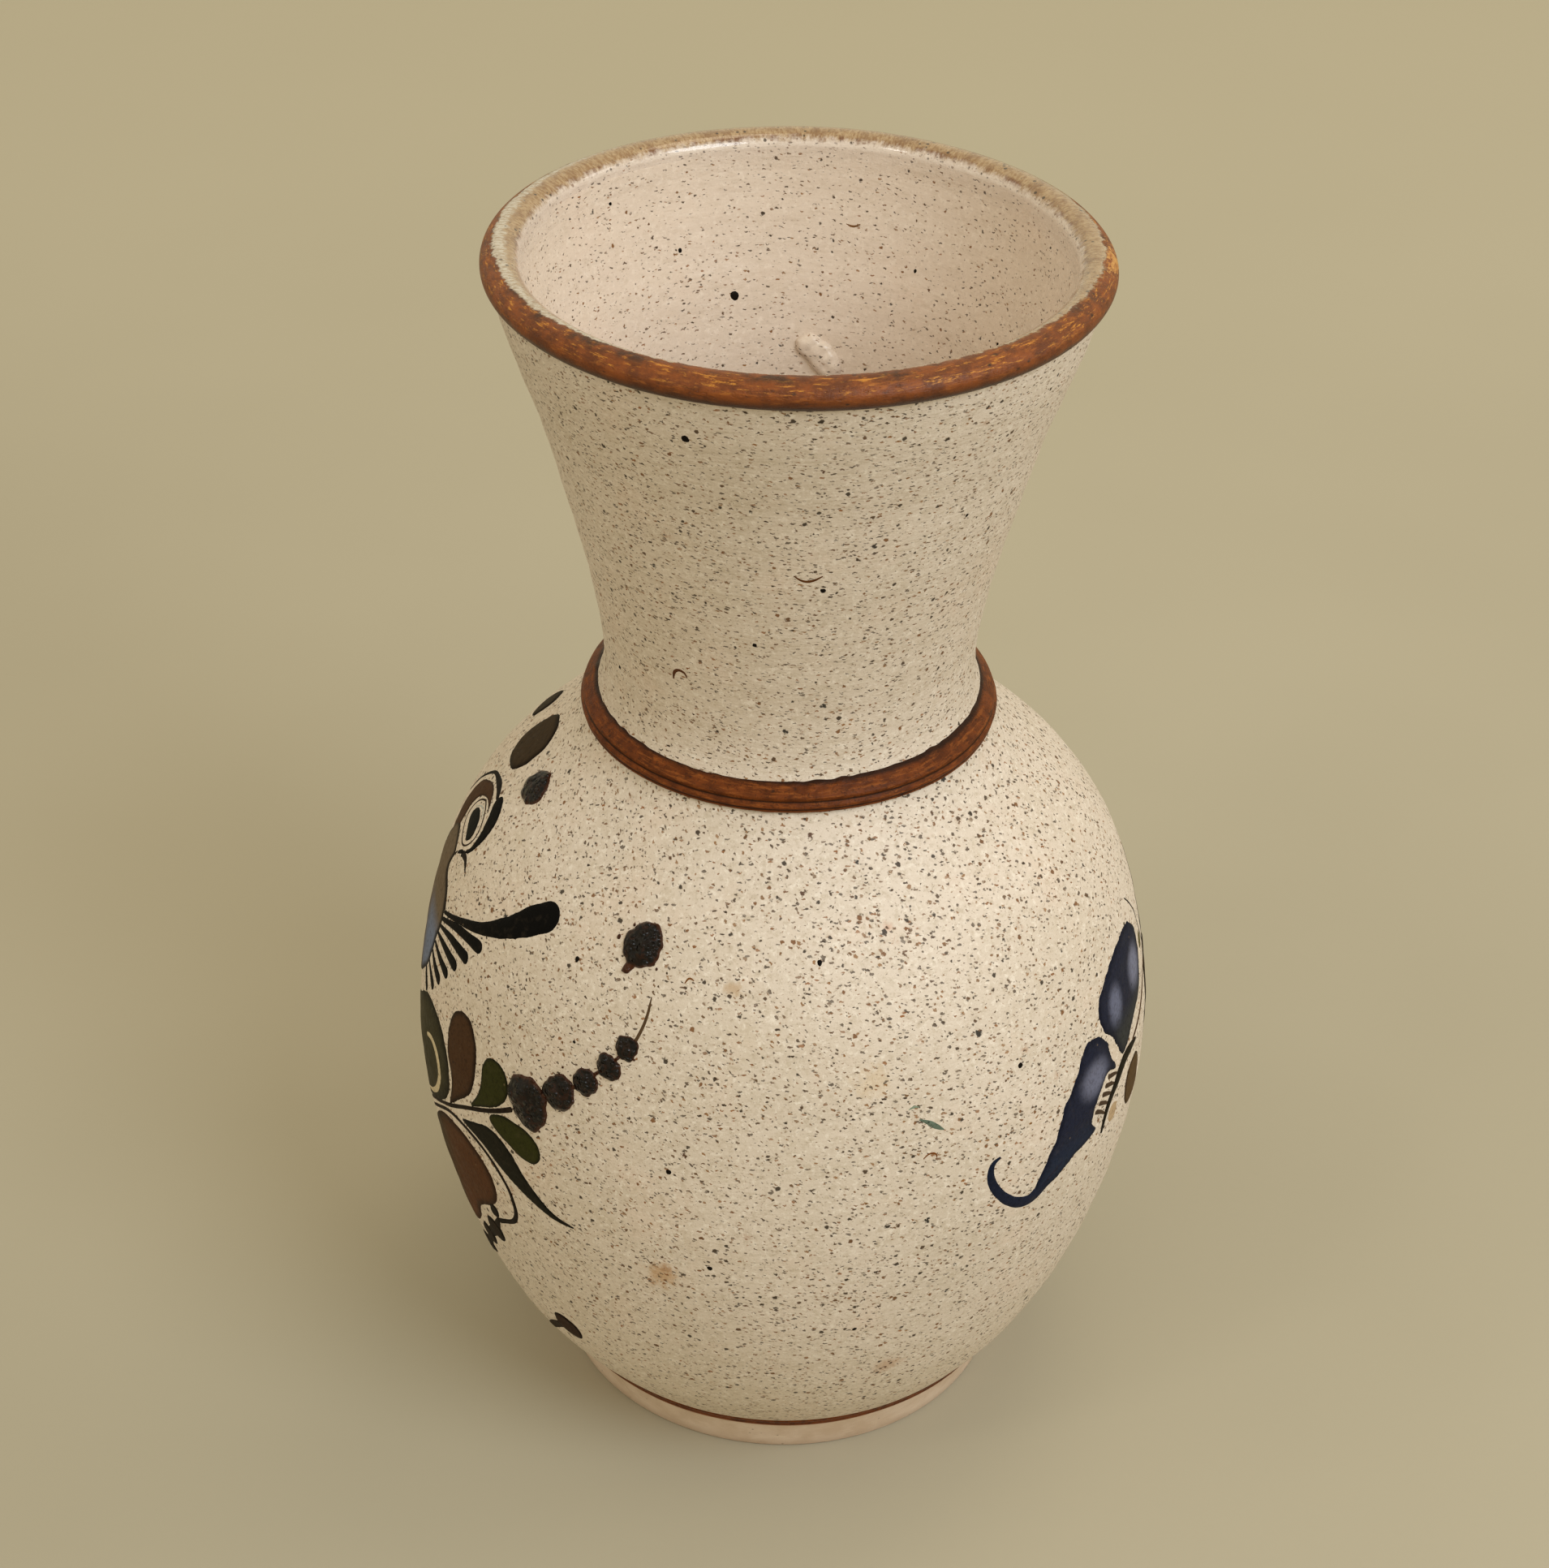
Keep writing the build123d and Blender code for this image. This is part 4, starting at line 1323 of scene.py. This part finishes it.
fly.stroke(
    [(58.3, 82.8), (59, 85.5), (60.3, 88.2), (62.8, 91), (65.8, 93.4), (69.3, 93.8), (72.2, 93.3)],
    [1.0, 1.6, 2.2, 2.9, 3.0, 2.2, 0.9], (26, 22, 14), height=0.2
)
fly.stroke(
    [(71, 94.4), (74, 95.2), (77.4, 96.8), (81.4, 99.4), (86, 102)], [1.0, 1.2, 1.2, 1.1, 0.7],
    (74, 50, 30)
)
fly.oval(70.9, 84.5, 3.9, 5.5, (84, 62, 36), rim=(44, 30, 18), height=0.16)
fly.oval(61.9, 84.5, 1.6, 2.3, (184, 158, 126), height=0.06)
fly.oval(83.3, 107.5, 1.3, 1.9, (92, 84, 52))
# the far half of the butterfly
fly.patch(
    [
        (92, 104), (95, 108.6), (100, 112), (105.4, 113.6), (110, 112.4), (112.4, 108.4), (111.4, 103.6),
        (107, 99.6), (101, 97), (95, 96.4), (91.4, 98.6)
    ],
    NAVY,
    shade=wing(FAR_UPPER_SPOTS),
    height=0.14,
)
fly.patch(
    [
        (91, 94.4), (97, 94), (103, 92), (107.4, 88), (108, 82.4), (104.4, 79.2), (99.4, 80.6),
        (95, 84.8), (92, 89.6)
    ],
    NAVY,
    shade=wing(FAR_LOWER_SPOTS, edge=(2.0, 0.75)),
    height=0.14,
)
fly.stroke(
    [(104, 81), (109, 77.4), (114, 77.6), (117.4, 81.4), (118.4, 86.4), (116.8, 89.4)],
    [3.4, 2.8, 2.4, 2.0, 1.4, 0.7], NAVY, end=(20, 28, 46)
)
fly.patch(
    [
        (85.4, 103), (88.2, 104.4), (90.4, 101), (90.8, 94), (89.6, 86), (87.6, 78), (86, 74.6),
        (85.2, 80), (84.6, 88), (84.4, 96)
    ], (54, 38, 24), rim=(22, 17, 12), height=0.2
)
fly.stroke([(86.6, 104), (84.6, 110), (82.6, 116), (79.6, 120.6)], [0.6, 0.5, 0.5, 0.4], INK)
fly.stroke([(88.6, 104), (91.4, 110), (93, 116), (96.6, 120)], [0.6, 0.5, 0.5, 0.4], INK)
fly.build("butterfly_paint", slip)

# a small sprig on the back
back = Paint()
back.stroke(
    [(158, 62), (165, 72), (173, 84), (180, 96), (186, 109), (189, 118)], [0.7, 1.0, 1.1, 1.1, 1.0, 0.8],
    (42, 32, 24)
)
for k, (az, z, side) in enumerate(
    ((163, 69.5, 1), (169, 77.5, -1), (174.4, 86.4, 1), (179.6, 95.4, -1), (184, 104.4, 1))
):
    tip_az, tip_z = az + side * 9.5, z + (4.5 if side > 0 else 9.5)
    mid = ((az + tip_az) / 2, (z + tip_z) / 2)
    back.patch(
        [
            (az, z), (mid[0] - 1.4, mid[1] - side * 2.6 - 0.4), (tip_az - side * 1.4, tip_z - side * 2.2),
            (tip_az, tip_z), (tip_az - side * 2.4, tip_z + side * 1.6 + 0.6),
            (mid[0] - 0.6, mid[1] + side * 2.2 + 0.8)
        ],
        LEAF if k % 2 else UMBER,
        rim=(20, 16, 11),
        height=0.15,
    )
for az, z, r in ((189.6, 121.4, 3.2), (192.4, 127.6, 2.6), (194.0, 133.2, 2.1)):
    back.oval(az, z, r / 1.15, r, (26, 19, 15), rim=(44, 27, 18), height=0.6, dome=r * 0.9)
back.stroke(
    [(158, 62), (152, 58), (146, 59.6), (143.4, 65), (145.6, 69.6), (149.4, 69)],
    [0.8, 1.1, 1.2, 1.1, 0.9, 0.6], (42, 32, 24)
)
back.build("back_sprig_paint", slip)


# single iron grains, hairs and smears in the glaze
RUST, ASH = (118, 68, 24), (98, 112, 98)
for name, wall, slot, grains, hairs in (
    (
        "belly_marks",
        belly_wall,
        "cream_glaze",
        (
            (-16.1, 98.0, 0.75), (-37.3, 131.5, 0.7), (-9.7, 75.9, 0.6), (6.6, 138.0, 0.55),
            (39.4, 112.2, 0.6), (-33.6, 118.0, 0.5), (12.4, 57.0, 0.55), (-58, 60, 0.6), (104, 96, 0.7),
            (138, 120, 0.6), (-140, 64, 0.7)
        ),
        (
            ([(21.2, 108.6), (22.6, 107.6), (23.6, 106.6), (24.9, 105.4)], [0.4, 1.1, 1.3, 0.4], ASH),
            ([(19.6, 111.2), (20.4, 111.5), (21.1, 111.3)], [0.3, 0.6, 0.3], (132, 146, 128)),
            ([(21.6, 100.2), (22.7, 101.0), (23.5, 100.6), (23.7, 99.5)], [0.35, 0.5, 0.45, 0.3], RUST),
            ([(-16.8, 133.6), (-16.1, 134.4), (-15.4, 134.2)], [0.3, 0.5, 0.3], (120, 76, 36)),
            ([(150, 84), (151, 86), (152.4, 87)], [0.4, 0.9, 0.4], ASH),
        ),
    ),
    (
        "neck_marks",
        neck_wall,
        "cream_glaze",
        (
            (7.4, 208.1, 0.6), (-9.3, 194.4, 0.55), (-61.9, 175.4, 0.55), (-20.4, 241.2, 0.7),
            (42.0, 219.0, 0.5), (96, 200, 0.6), (170, 214, 0.6), (-120, 190, 0.55)
        ),
        (
            (
                [(0.6, 211.6), (2.2, 210.6), (3.9, 210.3), (5.6, 210.7), (7.0, 211.4)],
                [0.35, 0.6, 0.75, 0.65, 0.4], (92, 54, 24)
            ),
            (
                [(-35.0, 181.7), (-34.2, 183.4), (-32.4, 184.2), (-30.8, 183.9), (-30.2, 183.0)],
                [0.5, 0.8, 0.8, 0.7, 0.4], (88, 52, 30)
            ),
        ),
    ),
    (
        "lining_marks",
        neck_lining,
        "cream_glaze",
        (
            (-163.3, 225.3, 0.85), (-133.2, 247.0, 0.6), (-150.0, 235.0, 0.45), (150.0, 232.0, 0.4),
            (118.0, 226.0, 0.45), (167.6, 208.2, 0.5)
        ),
        (([(165.6, 238.6), (167.0, 238.1), (168.8, 238.4)], [0.3, 0.6, 0.3], (120, 84, 52)),),
    ),
):
    marks = Paint(wall)
    for az, z, r in grains:
        across = math.degrees(r / wall.at(wall.s_at(z))[0])
        marks.oval(az, z, across, r, (18, 13, 9), height=0.10, grid=0.35, dome=0.4, rough=0.12)
    for points, widths, rgb in hairs:
        marks.stroke(points, widths, rgb, height=0.07, step=0.3, across=5)
    marks.build(name, slip, slot)


# the flake of glaze that sticks to the lining
lump = Paint(neck_lining)
lump.patch(
    [
        (180.4, 216.0), (177.6, 217.8), (173.8, 217.2), (170.2, 215.6), (167.6, 213.4), (166.8, 210.6),
        (168.4, 208.6), (171.4, 209.0), (174.8, 210.8), (177.8, 213.0), (180.2, 214.4)
    ],
    (200, 190, 170),
    height=1.5,
    dome=1.9,
    rough=0.2,
    bumps=lambda xy: 0.16 * np.sin(xy[:, 0] * 1.7) * np.sin(xy[:, 1] * 2.1 + 1),
)
lump_sh = Shader("cream_glaze_lump")
lump_base, lump_normal, lump_rough = cream_layers(lump_sh, 0.6, 1.0)
lump.build("glaze_lump", lump_sh.finish(lump_base, lump_rough, lump_normal, specular=0.40), "cream_glaze")


# ---------------------------------------------------------------- the raised glossy drops


def drop_material():
    sh = Shader("gloss_slip")
    edge = sh.attribute("rise")
    cell_d, cell_c = sh.cells(1.25, sh.mm)
    lumps = sh.step(cell_d, 0.15, 0.75)
    cloth = sh.noise(0.9, 4, 0.65)
    c = sh.mix(sh.step(cloth, 0.4, 0.66), (10, 8, 8), (24, 14, 10))
    c = sh.mix(sh.mul(sh.step(lumps, 0.3, 0.95), sh.step(cell_c[1], 0.62, 0.80, 0, 0.5)), c, (52, 26, 13))
    c = sh.mix(sh.step(edge, 0.16, 0.0, 0, 0.80), c, (70, 34, 14))
    n = sh.bump(sh.sub(1.0, lumps), 0.42, 0.9)
    n = sh.bump(sh.noise(2.4, 3, 0.6), 0.10, 0.7, n)
    return sh.finish(c, sh.line(cloth, 0.35, 0.7, 0.09, 0.20), n, specular=0.22)


gloss = drop_material()


def bead(name, node, knobs, seed, lobes=()):
    """A raised drop standing where the CAD drop does, with a knobbly top. lobes are (angle in
    degrees, how far, how wide) pull-outs of its outline."""
    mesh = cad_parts[node].data
    co = np.array([v.co for v in mesh.vertices]) * 1000
    rho = np.hypot(co[:, 0], co[:, 1])
    az = np.arctan2(co[:, 0], -co[:, 1])
    s_all = belly_wall.s_at(co[:, 2])
    s0 = (s_all.max() + s_all.min()) / 2
    r0, z0, nr, nz = belly_wall.at(s0)
    half_x = (az.max() - az.min()) / 2 * r0
    half_y = (s_all.max() - s_all.min()) / 2
    az0 = (az.max() + az.min()) / 2
    proud = ((rho - r0) * nr + (co[:, 2] - z0) * nz).max()
    local = np.random.default_rng(seed)
    rings, spokes = 14, 56
    t = np.linspace(0, 2 * np.pi, spokes, endpoint=False)
    waves = ((2, 0.05), (3, 0.045), (7, 0.03), (12, 0.02))
    outline = sum((deep * np.sin(n * t + local.uniform(0, 6)) for n, deep in waves), 1)
    for angle, far, wide in lobes:
        away = (np.degrees(t) - angle + 180) % 360 - 180
        outline = outline + far * np.exp(-((away / wide) ** 2))
    bumps = [
        (local.uniform(0, 2 * np.pi), local.uniform(0.1, 0.85), local.uniform(0.10, 0.2))
        for _ in range(knobs)
    ]
    verts, rise = [], []
    for k in range(rings + 1):
        f = k / rings
        x, y = half_x * f * outline * np.cos(t), half_y * f * outline * np.sin(t)
        if k == 0:
            x, y = x[:1] * 0, y[:1] * 0
        h = proud * (1 - f**2.6) ** 0.55 * 0.86 if f < 1 else 0.0
        lift = np.full(len(x), h - 0.08)
        for a, rr, w in bumps:
            bx, by = half_x * rr * math.cos(a), half_y * rr * math.sin(a)
            q = np.hypot(x - bx, y - by) / (max(half_x, half_y) * w * 1.4)
            lift = lift + proud * 0.16 * np.exp(-q * q) * (1 - f**6)
        verts.append(place(az0 + x / r0, s0 + y, lift))
        rise.append(np.full(len(x), 1 - f))
    verts.append(place(az0 + x / r0, s0 + y, np.full(len(x), -0.5)))
    rise.append(np.zeros(len(x)))
    verts.append(place(np.array([az0]), np.array([s0]), np.array([-0.5])))
    rise.append([0.0])
    faces = []
    start = [0] + [1 + k * spokes for k in range(rings + 1)]
    for i in range(spokes):
        j = (i + 1) % spokes
        faces.append((0, 1 + i, 1 + j))
        for k in range(1, rings + 1):
            a, b = start[k], start[k + 1]
            faces.append((a + i, b + i, b + j, a + j))
        faces.append((start[-1] + spokes, start[-1] + j, start[-1] + i))
    o = mesh_object(name, np.vstack(verts), faces, gloss)
    floats(o, "rise", np.concatenate(rise))
    return give(o, "gloss_slip", node)


DROPS = (
    ("berry_1", 16, ((290, 0.06, 30),)),
    ("berry_2", 10, ((270, 0.10, 22), (185, 0.08, 14))),
    ("berry_3", 8, ((285, 0.22, 24), (60, 0.10, 20))),
    ("berry_4", 7, ((310, 0.16, 26), (120, 0.10, 22))),
    ("berry_5", 6, ((300, 0.20, 22), (130, 0.12, 20))),
    ("shoulder_drop", 14, ((248, 0.16, 15),)),
    ("crest_drop", 9, ((80, 0.06, 20),)),
)
for k, (node, knobs, lobes) in enumerate(DROPS):
    bead("slip_" + node, node, knobs, 500 + k, lobes)

# threads and spatters of the same glaze between the drops
spatter = Paint()
for points, widths in (
    ([(-38.4, 104.2), (-37.0, 105.2), (-36.6, 106.0)], [0.9, 1.1, 0.9]),
    ([(-33.0, 108.8), (-32.2, 109.6), (-31.8, 110.4)], [0.8, 0.9, 0.8]),
    ([(-29.6, 113.0), (-28.8, 114.0), (-28.2, 114.8)], [0.7, 0.8, 0.7]),
    ([(-26.2, 117.6), (-25.6, 118.4), (-25.2, 119.4)], [0.7, 0.7, 0.7]),
    ([(-26.6, 134.6), (-27.3, 133.9), (-27.7, 133.2)], [1.4, 1.9, 1.8]),
):
    spatter.stroke(points, widths, (16, 12, 11), height=0.5)
for az, z, r in (
    (-31.1, 137.3, 0.42), (-29.0, 139.6, 0.2), (-22.3, 134.6, 0.22), (-43.4, 97.6, 0.25),
    (-37.8, 96.4, 0.22), (-32.2, 103.6, 0.22), (-24.9, 117.6, 0.2), (-23.0, 118.9, 0.22),
    (-34.9, 112.2, 0.22)
):
    spatter.oval(az, z, r, r * 1.1, (22, 15, 12), height=0.25, grid=0.2, dome=0.25)
spatter.build("slip_spatter", gloss, "gloss_slip")


# ---------------------------------------------------------------- floor, light, camera

FLOOR_HALF = 30  # metres, so that its edge is far out of every view


def floor_material():
    sh = Shader("floor")
    c = sh.mix(sh.step(sh.noise(0.004, 3, 0.5), 0.3, 0.7), (171, 163, 143), (177, 169, 149))
    # painted pool of light: the floor lighter behind the pot
    away = sh.vec("DISTANCE", sh.mm, (0.0, 1600.0, 0.0))
    c = sh.mix(sh.step(away, 1650, 700, 0, 0.85), c, (192, 184, 162))
    return sh.finish(c, 0.75, sh.bump(sh.noise(0.4, 2), 0.1, 0.15), specular=0.25)


floor_mesh = bpy.data.meshes.new("floor")
corners = [(x * FLOOR_HALF, y * FLOOR_HALF, 0) for x, y in ((-1, -1), (1, -1), (1, 1), (-1, 1))]
floor_mesh.from_pydata(corners, [], [(0, 1, 2, 3)])
floor_mesh.materials.append(floor_material())
floor = bpy.data.objects.new("floor", floor_mesh)
scene.collection.objects.link(floor)


def softbox(name, at, size, watts, rgb):
    """A round lamp that faces the middle of the pot."""
    data = bpy.data.lights.new(name, "AREA")
    data.shape = "DISK"
    data.size = size
    data.energy = watts
    data.color = [float(x) for x in linear(rgb)]
    o = bpy.data.objects.new(name, data)
    o.location = at
    o.rotation_mode = "QUATERNION"
    o.rotation_quaternion = (Vector((0, 0, 0.12)) - Vector(at)).to_track_quat("-Z", "Y")
    scene.collection.objects.link(o)


softbox("key_box", (0.80, -0.80, 1.15), 0.8, 10.6, (236, 246, 255))
softbox("top_box", (0.30, 0.30, 1.45), 0.5, 1.8, (255, 240, 214))
softbox("left_box", (-0.80, -0.75, 1.30), 0.25, 1.4, (255, 250, 242))
softbox("side_box", (1.25, 0.10, 0.80), 0.4, 1.2, (255, 250, 242))

world = bpy.data.worlds.new("world")
world.use_nodes = True
world.node_tree.nodes["Background"].inputs[0].default_value = rgba((255, 244, 214))
world.node_tree.nodes["Background"].inputs[1].default_value = 0.74
scene.world = world
scene.view_settings.view_transform = "Standard"
scene.view_settings.look = "None"

TALL = 0.255  # metres, the height of the pot
yaw, pitch, lean = -0.005007, 0.59729, -0.019382
forward = Vector((math.sin(yaw) * math.cos(pitch), math.cos(yaw) * math.cos(pitch), -math.sin(pitch)))
right = Vector((math.cos(yaw), -math.sin(yaw), 0))
down = forward.cross(right)
image_x = right * math.cos(lean) + down * math.sin(lean)
image_y = -right * math.sin(lean) + down * math.cos(lean)
lens = bpy.data.cameras.new("camera")
lens.sensor_fit = "HORIZONTAL"
lens.sensor_width = 36
lens.lens = 70.24
lens.clip_start, lens.clip_end = 0.01, 50
camera = bpy.data.objects.new("camera", lens)
place_at = Matrix.Translation((0, -1.9653 * TALL, 1.8774 * TALL))
camera.matrix_world = place_at @ Matrix((image_x, -image_y, -forward)).transposed().to_4x4()
scene.collection.objects.link(camera)
scene.camera = camera
